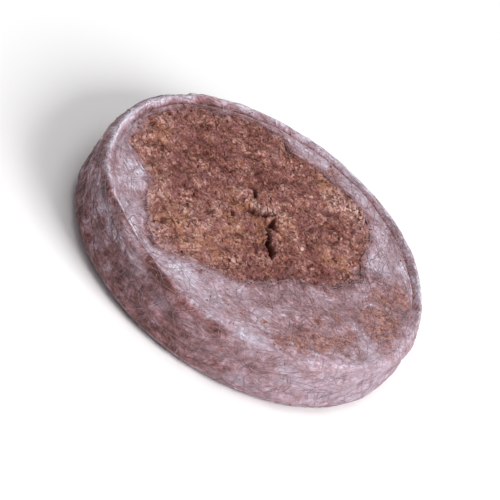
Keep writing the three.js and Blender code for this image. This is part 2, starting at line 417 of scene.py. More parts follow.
def peat_top(x, y):
    """Height of the bare peat in the top window, the tone of its crumbs, its relief and the clefts."""
    crumbs, tone = pressed_crumbs(x, y, PEAT_SEED)
    slit, arms = cleft_share(x, y, [SLIT]), cleft_share(x, y, ARMS)
    slit_depth = MOUTH_DEPTH * (1 - smoothstep(slit, *MOUTH_SIDES))
    slit_depth = slit_depth + (SLIT_DEPTH - MOUTH_DEPTH) * (1 - smoothstep(slit, *SLIT_SIDES))
    depth = np.maximum(slit_depth, ARM_DEPTH * (1 - smoothstep(arms, *ARM_SIDES)))
    nearest = np.minimum(slit, arms)
    torn_lip = TORN_LIP_HEIGHT * hump(nearest, TORN_LIP_PLACE, TORN_LIP_WIDTH)
    level = PEAT_LEVEL + waves(FACE_WAVES, x, y) + PEAT_WAVES_SHARE * waves(PEAT_WAVES, x, y)
    cleft = 1 - smoothstep(nearest, *SHADE_SIDES)
    return level + crumbs + torn_lip - depth, tone, crumbs, cleft


print(f"bare peat: about {PEAT_LEVEL:.2f} mm above the floor")

# %% [markdown]
# ## The plug as one closed surface
# The plug's grid starts in the middle of the top window and runs out to its edge, under the fleece,
# down inside the wall, and back to the middle of the underside. Only the two windows are ever seen,
# so they get nearly all of the rings.

# %% Grid of the plug
PEAT_SEGMENTS = 560
TOP_RINGS, BOTTOM_RINGS, TUCK_ROWS = 104, 42, 6
TUCK = 1.5  # the bare surface runs on this far under the fleece
TUCK_DROP = 0.45  # and sinks by this much, out of the cloth's way
HIDDEN_LINE = [  # inward from the wall as a negative number, and height above the floor
    (-0.9, THICKNESS - 1.2), (-0.7, THICKNESS - 2.2), (-0.7, 4), (-0.7, 2.4), (-1.3, 1.3),
    (-2.4, 0.6), (-5, 0.5), (-8, 0.5), (-10, 0.5),
]
peat_degrees = np.arange(PEAT_SEGMENTS) * 360 / PEAT_SEGMENTS
peat_turn = np.radians(peat_degrees)
peat_window = frayed_outline(TOP_WINDOW, peat_degrees, TOP_EDGE_SEED)
peat_under_window = frayed_outline(BOTTOM_WINDOW, peat_degrees, BOTTOM_EDGE_SEED)


def ring_points(radius, height):
    """Rings of points from radii and heights, one row per ring."""
    radius, height = np.broadcast_arrays(radius, height)
    turn = np.broadcast_to(peat_turn, radius.shape)
    return np.stack([radius * np.cos(turn), radius * np.sin(turn), height], -1)


inside = (np.arange(1, TOP_RINGS + 1) / TOP_RINGS)[:, None] * peat_window
tuck_share = (np.arange(1, TUCK_ROWS + 1) / TUCK_ROWS)[:, None]
tucked = peat_window + np.minimum(TUCK, FOLD_RADIUS + 0.5 - peat_window) * tuck_share
hidden = ring_points(
    np.array([[PELLET_RADIUS + inward] * PEAT_SEGMENTS for inward, _ in HIDDEN_LINE]),
    np.array([[height] for _, height in HIDDEN_LINE]),
)
outside_in = (np.arange(BOTTOM_RINGS, 0, -1) / BOTTOM_RINGS)[:, None] * peat_under_window
ring_count = sum(len(rings) for rings in (inside, tucked, hidden, outside_in))
print(f"plug grid: {ring_count} rings of {PEAT_SEGMENTS}")

# %% Surface of the plug
UNDER_INSET = 0.22  # the bare underside lies this far above the floor
CLEAR_OF_FLOOR = 0.03
UNDER_ROUGHNESS = 0.8  # share of the face's relief that the underside has
TUCKED_SMOOTHER = 0.8  # share of the relief that is lost under the cloth
top = ring_points(np.concatenate([inside, tucked]), 0.0)
top_x, top_y = top[..., 0], top[..., 1]
top_height, top_tone, top_rise, top_cleft = peat_top(top_x, top_y)
under_share = np.concatenate([np.zeros((TOP_RINGS, 1)), tuck_share])
level = PEAT_LEVEL + waves(FACE_WAVES, top_x, top_y)
drop = TUCK_DROP * smoothstep(under_share, 0.2, 0.9)
top[..., 2] = level + (top_height - level) * (1 - TUCKED_SMOOTHER * under_share) - drop
bottom = ring_points(outside_in, 0.0)
bottom_rise, bottom_tone = pressed_crumbs(bottom[..., 0], bottom[..., 1], UNDER_SEED)
bottom[..., 2] = np.maximum(UNDER_INSET - UNDER_ROUGHNESS * bottom_rise, CLEAR_OF_FLOOR)
plug_grid = np.concatenate([top, hidden, bottom])
plug_grid[..., :2] *= 1 + (waves(OUTLINE_WAVES, peat_turn, 0) / PELLET_RADIUS)[None, :, None]
print(f"bare face: {top_height.min():.1f} to {top_height.max():.1f} mm high")

# %% Faces of the plug
top_pole = np.array([[0, 0, top[0, :, 2].mean()]])
bottom_pole = np.array([[0, 0, bottom[-1, :, 2].mean()]])
plug_points = np.concatenate([plug_grid.reshape(-1, 3), top_pole, bottom_pole])
columns = np.arange(PEAT_SEGMENTS)
next_columns = (columns + 1) % PEAT_SEGMENTS
last_ring = (len(plug_grid) - 1) * PEAT_SEGMENTS
top_index = np.full(PEAT_SEGMENTS, plug_grid[..., 0].size)
top_fan = np.stack([top_index, columns, next_columns], -1)
bottom_fan = np.stack([top_index + 1, last_ring + next_columns, last_ring + columns], -1)
plug_faces = grid_faces(len(plug_grid), PEAT_SEGMENTS, False).tolist()
plug_faces += top_fan.tolist() + bottom_fan.tolist()
print(f"plug: {len(plug_points)} points, {len(plug_faces)} faces")

# %% [markdown]
# ## Where the peat is paler, darker or dusted with lint
# Crumbs of raw moss are ochre or pale, humus is dark, and near the window lint from the cloth clings
# to the peat. A mask could be painted for each, but a short list of soft spots, each given with a
# place and a size in millimetres, is easier to read and to change.

# %% Spots on the peat
OCHRE_SPOTS = [
    (-3.8, -2.6, 1.6), (-4, -9.5, 2.4), (-8.5, -9.5, 2.6), (9.4, 4, 1.6), (1.8, 15.4, 1.6),
    (-16, 2.5, 1.8), (1.5, 3, 1.2), (-12, -10.5, 1.6), (-3.4, 2, 1), (-2.4, -4.4, 1.6),
    (0.2, -1.9, 1.2), (8.2, 3.2, 1.3), (-15, -5, 1.5), (-0.8, 0.3, 1.5), (1.9, 1.2, 1.2), (-4.6, 0, 1.2),
]
PALE_SPOTS = [
    (-12.8, -8, 3.8), (-7.5, -7.5, 4.2), (-4, -10.5, 3), (9, 4.5, 2.3), (-2.6, 2.9, 1), (-0.6, 2.9, 0.9),
    (5, 13.5, 2.3), (8.2, 11.3, 1.8), (-17, 5, 1.5), (10.3, 2.4, 2), (0.8, 4.6, 1.4), (-4, 3.8, 1.2),
    (-5, -1.8, 2), (-16.4, -1.5, 1.5), (-8.5, -13.6, 2), (-4.6, -13, 1.2),
]
DARK_SPOTS = [
    (6, -4.2, 2), (8.4, -1.2, 1.8), (-3.5, 8, 1.8), (6.5, 8.6, 1.1), (-10.5, 6.5, 2.8), (7.4, 0.8, 1.5),
    (-10, -2.4, 1.8), (-1.6, -4.8, 1.2),
]
LINTY_SPOTS = [
    (-7.4, -14.2, 2.4), (-4.8, -13.2, 1.5), (-9.8, -12.4, 1.5), (-11.6, -9.6, 1.4), (-14.6, -4.8, 1.5),
    (-17.6, 2, 1.3), (5, 14, 1.8), (8.2, 11.2, 1.3), (11, 4.5, 1.6), (3.8, -8, 1.3), (2, -10.2, 1),
]
DARK_STRENGTH = 1.4
NO_LINT = 5  # mm inside the edge: from here on no lint lies on the peat
LINT_BEYOND_EDGE = 0.22  # a linty spot looks as if it lay this far under the cloth


def pale(x, y):
    """How much paler, or below zero darker, the crumbs are at a place."""
    return spots(PALE_SPOTS, x, y) - DARK_STRENGTH * spots(DARK_SPOTS, x, y)


inset = np.concatenate([peat_window - inside, 0 * tucked])
linty = spots(LINTY_SPOTS, top_x, top_y)
inset = np.minimum(inset, NO_LINT) * (1 - linty) - LINT_BEYOND_EDGE * linty
print(f"spots: {len(OCHRE_SPOTS)} ochre, {len(PALE_SPOTS)} pale, {len(DARK_SPOTS)} dark")


# %% Plug mesh
def over_plug(top_value, hidden_value, bottom_value):
    """One value for each of the plug's points; the two poles take the mean of their ring."""
    middle = np.full(hidden.shape[:2], hidden_value)
    values = np.concatenate([top_value, middle, np.broadcast_to(bottom_value, bottom_tone.shape)])
    return np.r_[values.ravel(), values[0].mean(), values[-1].mean()]


pressed_peat = make_piece("pressed_peat", plug_points, plug_faces, {
    "tone": over_plug(top_tone, 0.5, bottom_tone),
    "rise": over_plug(top_rise, 0.0, bottom_rise),
    "cleft": over_plug(top_cleft, 0.0, 0.0),
    "ochre": over_plug(spots(OCHRE_SPOTS, top_x, top_y), 0.0, 0.0),
    "pale": over_plug(pale(top_x, top_y), 0.0, 0.0),
    "inset": over_plug(inset, 0.0, NO_LINT),
})
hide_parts("peat_plug")

# %% [markdown]
# ## The fleece sleeve
# The sleeve is a tube of felted fibres, drawn tight round the peat and folded over both faces. It
# could be a cloth simulation, but it was pressed between plates, so its shape is known: a turned
# profile with a thin raised lip. The rows lie closer together at the lip than down the wall.

# %% Profile of the sleeve
LIP_SPACING, WALL_SPACING = 0.09, 0.21
ARC_POINTS = 12
FOLD_DIP = 0.06  # the fold sinks by this much from the window's edge to the foot of the lip


def resampled(points, spacing):
    """The same line through evenly spaced points, with its corners eased."""
    points = np.array(points, float)
    length = np.r_[0, np.linalg.norm(np.diff(points, axis=0), axis=1).cumsum()]
    steps = np.linspace(0, length[-1], int(length[-1] / spacing))
    line = np.stack([np.interp(steps, length, points[:, axis]) for axis in (0, 1)], -1)
    line[1:-1] = line[1:-1] / 2 + (line[:-2] + line[2:]) / 4
    return line


def rim_and_wall():
    """Radius and height from the foot of the lip, over it, down the wall and under."""
    lip = [
        (FOLD_RADIUS, FOLD_HEIGHT - FOLD_DIP),
        (LIP_RADIUS - 0.45, FOLD_HEIGHT - 0.02),
        (LIP_RADIUS - 0.2, THICKNESS - 0.08),
        (LIP_RADIUS, THICKNESS + 0.02),
        (LIP_RADIUS + 0.22, THICKNESS - 0.08),
    ]
    share = np.linspace(0, 1, ARC_POINTS)[:, None]
    corner, end = np.array([[PELLET_RADIUS, THICKNESS - 0.45], [PELLET_RADIUS, THICKNESS - 2]])
    shoulder = (1 - share) ** 2 * lip[-1] + 2 * share * (1 - share) * corner + share**2 * end
    turn = np.linspace(0, math.pi / 2, ARC_POINTS)
    under_radius = FOOT_RADIUS + BOTTOM_ROUNDING * np.cos(turn)
    under = np.stack([under_radius, BOTTOM_ROUNDING - BOTTOM_ROUNDING * np.sin(turn)], -1)
    fine = resampled(lip, LIP_SPACING)
    coarse = resampled(np.concatenate([shoulder, under]), WALL_SPACING)
    return np.concatenate([fine, coarse[1:]])


wall_line = rim_and_wall()
print(f"profile: {len(wall_line)} points from the foot of the lip to the underside")

# %% Grid of the sleeve
SLEEVE_SEGMENTS = 630
FOLD_ROWS, FOOT_ROWS = 44, 26
FOLD_CROWDING = 1.25  # above 1, rows lie closer together towards the lip
FACE_FROM, UNDERSIDE_TO = 4, 2  # mm above the floor: the face is higher, the underside lower
FAR_FROM_EDGE = 9
sleeve_degrees = np.arange(SLEEVE_SEGMENTS) * 360 / SLEEVE_SEGMENTS
sleeve_window = frayed_outline(TOP_WINDOW, sleeve_degrees, TOP_EDGE_SEED)
sleeve_under_window = frayed_outline(BOTTOM_WINDOW, sleeve_degrees, BOTTOM_EDGE_SEED)
fold_share = 1 - (1 - np.arange(FOLD_ROWS) / FOLD_ROWS)[:, None] ** FOLD_CROWDING
foot_share = (np.arange(1, FOOT_ROWS + 1) / FOOT_ROWS)[:, None]
fold_radius = sleeve_window + (FOLD_RADIUS - sleeve_window) * fold_share
foot_radius = FOOT_RADIUS + (sleeve_under_window - FOOT_RADIUS) * foot_share
wall_radius = np.repeat(wall_line[:, :1], SLEEVE_SEGMENTS, 1)
sleeve_radius = np.concatenate([fold_radius, wall_radius, foot_radius])
sleeve_height = np.concatenate([
    FOLD_HEIGHT - FOLD_DIP * fold_share + np.zeros_like(fold_radius),
    np.repeat(wall_line[:, 1:], SLEEVE_SEGMENTS, 1),
    np.zeros_like(foot_radius),
])
sleeve_turn = np.radians(sleeve_degrees)[None] + np.zeros_like(sleeve_radius)
from_edge = np.minimum(
    np.where(sleeve_height > FACE_FROM, sleeve_radius - sleeve_window, FAR_FROM_EDGE),
    np.where(sleeve_height < UNDERSIDE_TO, sleeve_radius - sleeve_under_window, FAR_FROM_EDGE),
)
print(f"sleeve grid: {sleeve_radius.shape[0]} rows of {SLEEVE_SEGMENTS}")

# %% [markdown]
# ## The level side
# At the near right the press has hardly left a lip: the face runs up to the rim in one slope, and the
# rim is rounded off. The profile could be turned twice and blended, but it is simpler to lift the
# grid there and to ease its edge, more in the middle of that side than at its ends.

# %% Level side of the rim
LEVEL_MIDDLE, LEVEL_REACH = 318, (40, 68)  # degrees: level up to 40 on both sides, not beyond 68
LEVEL_WIDTH, LEVEL_RISE = 3.5, 0.28  # mm: the slope up to the rim
LIP_EASE, EASE_WIDTH = 0.35, 1.3
levelled = 1 - smoothstep(degrees_off(sleeve_degrees, LEVEL_MIDDLE), *LEVEL_REACH)
slope = LEVEL_RISE * smoothstep(LIP_RADIUS - sleeve_radius, 0, LEVEL_WIDTH)
run_up = THICKNESS - 0.05 - slope
within_lip = (sleeve_radius < LIP_RADIUS) & (sleeve_height > FOLD_HEIGHT - 0.5)
sleeve_height += levelled * within_lip * np.maximum(run_up - sleeve_height, 0)
eased = levelled * hump(sleeve_radius, PELLET_RADIUS, EASE_WIDTH)
sleeve_height -= LIP_EASE * eased * smoothstep(sleeve_height, 2, 5)
turned_sleeve = np.stack([
    sleeve_radius * np.cos(sleeve_turn), sleeve_radius * np.sin(sleeve_turn), sleeve_height,
], -1)
row_steps = np.diff(turned_sleeve, axis=0, prepend=turned_sleeve[:1])
down_profile = np.linalg.norm(row_steps, axis=-1).cumsum(0)
print(f"sleeve: {down_profile[-1].min():.0f} to {down_profile[-1].max():.0f} mm from edge to edge")

# %% [markdown]
# ## Marks of the press on the cloth
# The cloth is so thin that crumbs push through it, it wrinkles a little round the wall, gathers into
# fine strokes where it turns over the lip, and is creased just inside the lip. A displacement
# modifier could add these, but then the fibres that lie on the cloth would not know where it went.

# %% Crease and strokes
CREASE_MIDDLE, CREASE_REACH = 95, 85  # degrees: the crease is sharp on the far side of the rim
CREASE_RADIUS, CREASE_WIDTH = FOLD_RADIUS + 0.12, 0.17
STROKE_STRETCH = 0.2  # the strokes are five times as long as they are wide


def normals_of(surface):
    """Unit normals of a grid that runs down the profile and anticlockwise round."""
    down = np.gradient(surface, axis=0)
    wrapped = np.concatenate([surface[:, -1:], surface, surface[:, :1]], 1)
    around = (wrapped[:, 2:] - wrapped[:, :-2]) / 2
    normal = np.cross(down, around)
    return normal / np.linalg.norm(normal, axis=-1, keepdims=True)


def rim_strokes(place, radius, seed):
    """Noise in fine strokes that run across the rim."""
    on_rim = place[..., :2] / radius[..., None] * PELLET_RADIUS
    drawn_out = np.concatenate([on_rim, radius[..., None] * STROKE_STRETCH], -1)
    return swell(drawn_out, 0.6, seed) + 0.5 * swell(drawn_out, 0.3, seed + 1)


def crease_strength(place, radius):
    """How sharply the cloth is creased inside the lip, from 0 to 1."""
    off_middle = degrees_off(degrees_of(place[..., 0], place[..., 1]), CREASE_MIDDLE)
    sharp = 0.2 + 0.8 * hump(off_middle, 0, CREASE_REACH, 4)
    broken = 0.75 + 0.35 * swell(place, 3.3, 60)
    on_face = place[..., 2] > FOLD_HEIGHT - 0.6
    return sharp * broken * on_face * hump(radius, CREASE_RADIUS, CREASE_WIDTH)


pressed_sleeve = pressed_in(turned_sleeve)
crease = crease_strength(pressed_sleeve, sleeve_radius) * (1 - levelled)
print(f"crease: up to {crease.max():.2f} of its full depth")

# %% Relief of the sleeve
LUMP_SIZE, LUMP_HEIGHT = 1.4, 0.07
PUCKER_SIZE, PUCKER_HEIGHT = 2.8, 0.05
FELT_SIZE, FELT_HEIGHT = 0.5, 0.028
WRINKLE_STRETCH = 3.4  # wrinkles run round the wall, about this much longer than they are high
WRINKLE_DEPTH, STROKE_HEIGHT, CREASE_DEPTH = 0.06, 0.035, 0.22
EDGE_SHARE, EDGE_REACH = 0.8, 0.8  # near its edge the cloth follows the crumbs under it
EDGE_SINK, EDGE_SINK_REACH = 0.07, 0.5  # and is pressed into the peat
on_wall = 1 - smoothstep(sleeve_height, THICKNESS - 0.9, THICKNESS - 0.3)
near_lip = hump(sleeve_radius, LIP_RADIUS, 1.5) * (sleeve_height > THICKNESS - 2.2)
lumps_through, lump_tone = grains(pressed_sleeve, LUMP_SIZE, 51)
flattened = pressed_sleeve * np.array([1, 1, WRINKLE_STRETCH])
wrinkles = swell(flattened, 6.5, 57) + 0.4 * swell(flattened, 2.4, 58)
relief = (
    LUMP_HEIGHT * lumps_through * lump_tone
    + PUCKER_HEIGHT * swell(pressed_sleeve, PUCKER_SIZE, 55)
    + FELT_HEIGHT * swell(pressed_sleeve, FELT_SIZE, 56)
    - WRINKLE_DEPTH * hump(wrinkles, 0, 0.2) * on_wall
    + STROKE_HEIGHT * rim_strokes(pressed_sleeve, sleeve_radius, 61) * near_lip
    - CREASE_DEPTH * crease
)
crumbs_under, _ = pressed_crumbs(pressed_sleeve[..., 0], pressed_sleeve[..., 1], PEAT_SEED)
edge_dip = EDGE_SHARE * crumbs_under * np.exp(-from_edge / EDGE_REACH)
edge_dip = (edge_dip - EDGE_SINK * np.exp(-from_edge / EDGE_SINK_REACH)) * (sleeve_height > FACE_FROM)
off_foot = smoothstep(sleeve_height, 0.25, 1.2)
lift = relief * off_foot + edge_dip
sleeve_surface = pressed_sleeve + normals_of(pressed_sleeve) * lift[..., None]
sleeve_surface[..., 2] = np.maximum(sleeve_surface[..., 2], 0)
sleeve_normal = normals_of(sleeve_surface)
print(f"relief of the cloth: {relief.min():.2f} to {relief.max():.2f} mm")

# %% Inner face of the cloth
FLEECE = 0.3  # drawn thicker than the real 0.1 mm, which would let the two faces touch
FLEECE_EDGE, THINNING = 0.07, 1.2  # it thins to its edge over this distance
CLOTH_OFF_FLOOR = 0.04
INNER_EVERY = 9  # the hidden inner face needs only every ninth row
last_row = len(sleeve_surface) - 1
inner_rows = np.r_[np.arange(0, last_row, INNER_EVERY), last_row][::-1]
cloth = FLEECE_EDGE + (FLEECE - FLEECE_EDGE) * smoothstep(from_edge, 0, THINNING)
inner = (sleeve_surface - sleeve_normal * cloth[..., None])[inner_rows]
inner[..., 2] = np.maximum(inner[..., 2], CLOTH_OFF_FLOOR)
print(f"inner face: {len(inner_rows)} rows")

# %% [markdown]
# ## Where the fleece is worn, clean or dusty, and where light and shade are painted on it
# The cloth is clean and lilac in places, dusty brown in others, and worn through at the right, where
# peat shows between the fibres. These marks are the soft spots and bands below. Some bands are painted
# light and shade instead: a painted highlight on the lip's crest, painted shade under the lip, in the
# crease and along the near-left rim, a painted lit strip, a painted lighter upper wall and a painted
# darker foot, and a wall that is darker on its shaded left, partly as painted shade. Each adds to one
# value, the cover, which says how much clean fibre is seen at a place, or how lit or shaded it is
# painted. The mottling and the lilac tint change along the wall too, so a table gives them for some
# directions and they are eased between.

# %% Worn, clean and dull places of the face
WORN_SPOTS = [
    (16.9, 5.2, 1.7), (15, 2.8, 1.9), (16.6, 0.4, 2.6), (17.2, -3, 2.2), (15, -1, 1.9),
    (14.8, -7.8, 1.6), (13.6, -9.8, 2.1), (12.2, -12, 2.1), (10.4, -13.8, 1.9), (9, -15.4, 1.4),
    (1.3, -16.2, 0.8), (2.4, -16.8, 0.6), (-3.1, -14.6, 0.6), (6.1, -14.9, 0.7), (2.2, 17.6, 1.3),
    (12, -5.4, 1.1), (10.6, -8.8, 1.2),
]
CLEAN_SPOTS = [
    (-16.6, -6, 2), (-15, -8.2, 1.8), (-19.6, 0.5, 1.8), (-18.5, 7.5, 1.6), (12.8, 8.6, 2.2),
    (15, 10, 1.5), (10.6, 13, 1.8), (6.6, 17, 1.8), (8.8, 15.9, 1.5), (-1.6, 17.4, 1.5),
    (-5, -15.9, 1.5), (-3, -16.8, 1.7), (-0.5, -17.4, 1.2), (4.8, -18.8, 1.2), (7, -17.9, 1.2),
    (17.4, -7.4, 1.4), (-12.6, -14.6, 1.2), (-19, -3, 1.6), (-13.6, -12.2, 1.3), (-19, 4, 1.5),
    (-16.5, 10.5, 1.4), (5.2, -14.4, 1.4), (-16.5, -11, 1.4), (-17.8, -3, 1.9), (0, 19.4, 2),
    (3.6, 19.4, 1.8), (-10, 17, 1.6), (2, -13.2, 1.8), (-3.6, -14, 1.5), (8.8, -4.2, 1.4),
    (-14.9, -5.2, 1.4),
]
DULL_SPOTS = [
    (8.5, -8, 3.6), (13.5, -4, 3.4), (17, 3, 3), (11, -11, 3), (9.5, -13, 2.2), (10, -16.8, 1.6),
    (3.6, -16.4, 1.3), (-14, 13.5, 1.6), (15, 1.5, 1.6),
]
sleeve_x, sleeve_y = pressed_sleeve[..., 0], pressed_sleeve[..., 1]
worn = spots(WORN_SPOTS, sleeve_x, sleeve_y) * (sleeve_height > FACE_FROM)
clean = spots(CLEAN_SPOTS, sleeve_x, sleeve_y) * (sleeve_height > FACE_FROM)
clean = clean - spots(DULL_SPOTS, sleeve_x, sleeve_y)
print(f"spots: {len(WORN_SPOTS)} worn, {len(CLEAN_SPOTS)} clean, {len(DULL_SPOTS)} dull")

# %% Bands along the rim
PALE_BAND, PALE_BAND_REACH = 257, 17  # degrees: here the face is palest, in a band along the lip
PALE_BAND_RADIUS, PALE_BAND_WIDTH = 18.5, 1.5
RIM_SHADE, RIM_SHADE_REACH = 236, 22  # degrees: here a painted shade lies along the rim, just outside the lip
RIM_SHADE_RADIUS, RIM_SHADE_WIDTH = LIP_RADIUS + 0.4, 0.34
RIM_BEND, RIM_BEND_REACH = 0.55, 11  # in the middle of this arc it runs nearer to the face
CREST_SHIFT = 0.3  # and the crest's painted highlight gives way to it
CREST_RADIUS, CREST_WIDTH = LIP_RADIUS + 0.12, 0.33
LIT_STRIP_HEIGHT, LIT_STRIP_WIDTH = 6.2, 0.55  # a painted lit strip on the wall below the painted rim shade
pale_band = hump(sleeve_degrees, PALE_BAND, PALE_BAND_REACH)
pale_band = pale_band * hump(sleeve_radius, PALE_BAND_RADIUS, PALE_BAND_WIDTH)
rim_bend = RIM_BEND * hump(sleeve_degrees, RIM_SHADE, RIM_BEND_REACH)
along_rim = hump(sleeve_degrees, RIM_SHADE, RIM_SHADE_REACH, 4)
# Painted shade in a band along the rim, just outside the lip.
painted_rim_shade = along_rim * hump(sleeve_radius, RIM_SHADE_RADIUS - rim_bend, RIM_SHADE_WIDTH)
painted_rim_shade = painted_rim_shade * (sleeve_height > THICKNESS - 1)
painted_lit_strip = along_rim * hump(sleeve_height, LIT_STRIP_HEIGHT, LIT_STRIP_WIDTH)
crest = CREST_RADIUS - CREST_SHIFT * along_rim - rim_bend
# A painted highlight along the crest of the lip.
painted_lip_highlight = hump(sleeve_radius, crest, CREST_WIDTH) * (sleeve_height > THICKNESS - 0.5)
# Painted shade on the wall just under the lip.
painted_shade_below_lip = hump(sleeve_height, THICKNESS - 1.1, 0.35) * on_wall * (1 - levelled)
painted_shade_below_lip = painted_shade_below_lip * (1 - along_rim)
# The band that this line prints as dusty is the painted rim shade.
print(f"bands: pale at {PALE_BAND} degrees, dusty at {RIM_SHADE} degrees")

# %% Looks of the wall
# On the shaded left the clean column is partly painted shade; on the lit side the lilac column is partly a
# painted highlight.
WALL_LOOKS = [  # degrees round, how clean, how mottled, how lilac, how much painted light and shade by height
    (0, 0, 0.9, 0.9, 0.6), (60, -0.2, 1, 0.5, 0.5), (130, -0.5, 1.1, 0.3, 0.5),
    (180, -0.8, 1.4, 0.1, 0.8), (210, -0.85, 1.5, 0, 1), (240, -1.2, 1.2, 0, 1),
    (265, -1.8, 0.9, 0, 0.7), (285, -1.5, 1, 0.4, 0.4), (300, -0.95, 0.9, 0.8, 0.5),
    (327, -0.5, 0.8, 1.2, 0.9), (345, -0.1, 0.75, 1.2, 0.8),
]
LIT_RIM_LILAC, CLEAN_LILAC, SHADED_LILAC = 0.7, 0.4, -0.25  # shares of the tint: a painted highlight on the lit rim, clean cloth more on the lit side, less as painted shade
CLEAN_SMOOTHER = 0.4  # clean cloth is less mottled by this share
look_degrees, *looks = np.array(WALL_LOOKS).T
wall_clean_and_shaded, wall_mottle, wall_lilac_and_highlight, wall_height_light = (
    np.interp(sleeve_degrees, look_degrees, look, period=360) for look in looks
)
off_face = smoothstep(sleeve_radius, LIP_RADIUS + 0.2, PELLET_RADIUS - 0.1)
# Lilac is the cloth's colour, and partly a painted highlight on the lit rim and wall, less in the shade.
lit_rim_highlight = levelled * hump(sleeve_radius, LIP_RADIUS + 0.2, 1.1)
lit_side = np.clip(wall_lilac_and_highlight, 0, 1)
lilac = CLEAN_LILAC * np.clip(clean, 0, 1) * (0.1 + 0.9 * lit_side)
lilac = lilac + LIT_RIM_LILAC * lit_rim_highlight + SHADED_LILAC * (1 - lit_side)
lilac = lilac + (wall_lilac_and_highlight - lilac) * off_face
# On the wall the clean value comes from the table, and on the left it is partly painted shade.
clean = clean + (wall_clean_and_shaded - clean) * off_face
mottle = 1 - CLEAN_SMOOTHER * np.clip(clean, 0, 1) * (1 - off_face) + (wall_mottle - 1) * off_face
print(f"wall: looks set in {len(WALL_LOOKS)} directions")

# %% Cover of the cloth
CLEAN_COVER, CREST_HIGHLIGHT_COVER, BAND_COVER, LIT_STRIP_COVER = 0.24, 0.36, 0.34, 0.22
LIP_SHADOW_COVER, EDGE_COVER, CREASE_SHADE_COVER, RIM_SHADE_COVER = -0.22, -0.55, -0.7, -0.7
UPPER_LIT_COVER, FOOT_SHADE_COVER, PATCH_COVER = 0.13, -0.08, 0.12
# Painted light on the upper wall, and painted shade at its foot.
lit_upper_wall = hump(sleeve_height, 5.9, 1.1)
foot = 1 - smoothstep(sleeve_height, 1.2, 3.8)
patches = PATCH_COVER * swell(pressed_sleeve, 4.2, 65)
at_edge = hump(from_edge, 0, 0.8) * (1 - 0.7 * np.clip(clean, 0, 1))
cover = (
    # Clean spots; on the wall this also holds painted shade on the left.
    CLEAN_COVER * clean
    # Painted highlight on the lip's crest.
    + CREST_HIGHLIGHT_COVER * painted_lip_highlight * (1 - 0.7 * levelled)
    # Painted shade under the lip.
    + LIP_SHADOW_COVER * painted_shade_below_lip
    + EDGE_COVER * at_edge
    + BAND_COVER * pale_band * (1 - off_face)
    # Painted shade in the crease inside the lip, over its real groove.
    + CREASE_SHADE_COVER * crease
    # Painted shade along the near-left rim.
    + RIM_SHADE_COVER * painted_rim_shade
    # Painted light in a strip on the upper wall.
    + LIT_STRIP_COVER * painted_lit_strip * off_face
    # Painted light up the wall and painted shade at its foot, with random patches.
    + off_face * (wall_height_light * (UPPER_LIT_COVER * lit_upper_wall + FOOT_SHADE_COVER * foot) + patches)
)
print(f"cover: {cover.min():.2f} to {cover.max():.2f}")


# %% Sleeve mesh
AROUND_SHARE = 0.3  # streaks run about three times as far along the rim as across it
sleeve_circle = np.stack([np.cos(sleeve_turn), np.sin(sleeve_turn)], -1)
drawn_round = np.concatenate([AROUND_SHARE * PELLET_RADIUS * sleeve_circle, down_profile[..., None]], -1)


def over_sleeve(value):
    """One value for each of the sleeve's points, outer face first."""
    return np.concatenate([value, np.zeros(inner.shape[:2] + value.shape[2:])])


sleeve_points = np.concatenate([sleeve_surface, inner])
sleeve_faces = grid_faces(len(sleeve_points), SLEEVE_SEGMENTS, True)
folded_fleece = make_piece("folded_fleece", sleeve_points, sleeve_faces, {
    "cover": over_sleeve(cover),
    "mottle": over_sleeve(mottle),
    "lilac": over_sleeve(lilac),
    "worn": over_sleeve(worn),
    "drawn_round": over_sleeve(drawn_round),
})
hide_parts("fleece_sleeve")

# %% [markdown]
# ## Loose crumbs
# The press leaves crumbs that stand on the face and overhang it, which no lifted grid can do. They
# could be scattered by Geometry Nodes, but a few thousand lumps are quick to make as one joined mesh.
# Each starts as a small ball that is dented, chipped flat on six sides, squashed and turned in its
# own way. They are flat-shaded, so the chipped sides catch the light as broken peat does.

# %% Balls to start from
def ball_template(subdivisions):
    """Points and faces of a unit ball made of triangles."""
    before = set(bpy.data.objects)
    bpy.ops.mesh.primitive_ico_sphere_add(subdivisions=subdivisions, radius=1)
    (ball,) = set(bpy.data.objects) - before
    points = np.array([vertex.co for vertex in ball.data.vertices])
    faces = np.array([polygon.vertices for polygon in ball.data.polygons])
    bpy.data.objects.remove(ball)
    return points, faces


BALLS = {subdivisions: ball_template(subdivisions) for subdivisions in (1, 2)}
print("coarse and fine ball:", [len(points) for points, _ in BALLS.values()], "points")

# %% Lumps
CHIPPED_SIDES = 6
DENTS = [(0.9, 0.35), (0.4, 0.25)]  # size and depth, as shares of the lump's radius
APART = 9.7  # each lump is dented by its own stretch of noise, this far from the next one's
rng = np.random.default_rng(7)


def random_turns(count):
    """Rotation matrices from random unit quaternions."""
    quaternions = rng.normal(size=(count, 4))
    w, x, y, z = (quaternions / np.linalg.norm(quaternions, axis=1, keepdims=True)).T
    rows = [
        [1 - 2 * (y * y + z * z), 2 * (x * y - w * z), 2 * (x * z + w * y)],
        [2 * (x * y + w * z), 1 - 2 * (x * x + z * z), 2 * (y * z - w * x)],
        [2 * (x * z - w * y), 2 * (y * z + w * x), 1 - 2 * (x * x + y * y)],
    ]
    return np.moveaxis(np.array(rows), -1, 0)


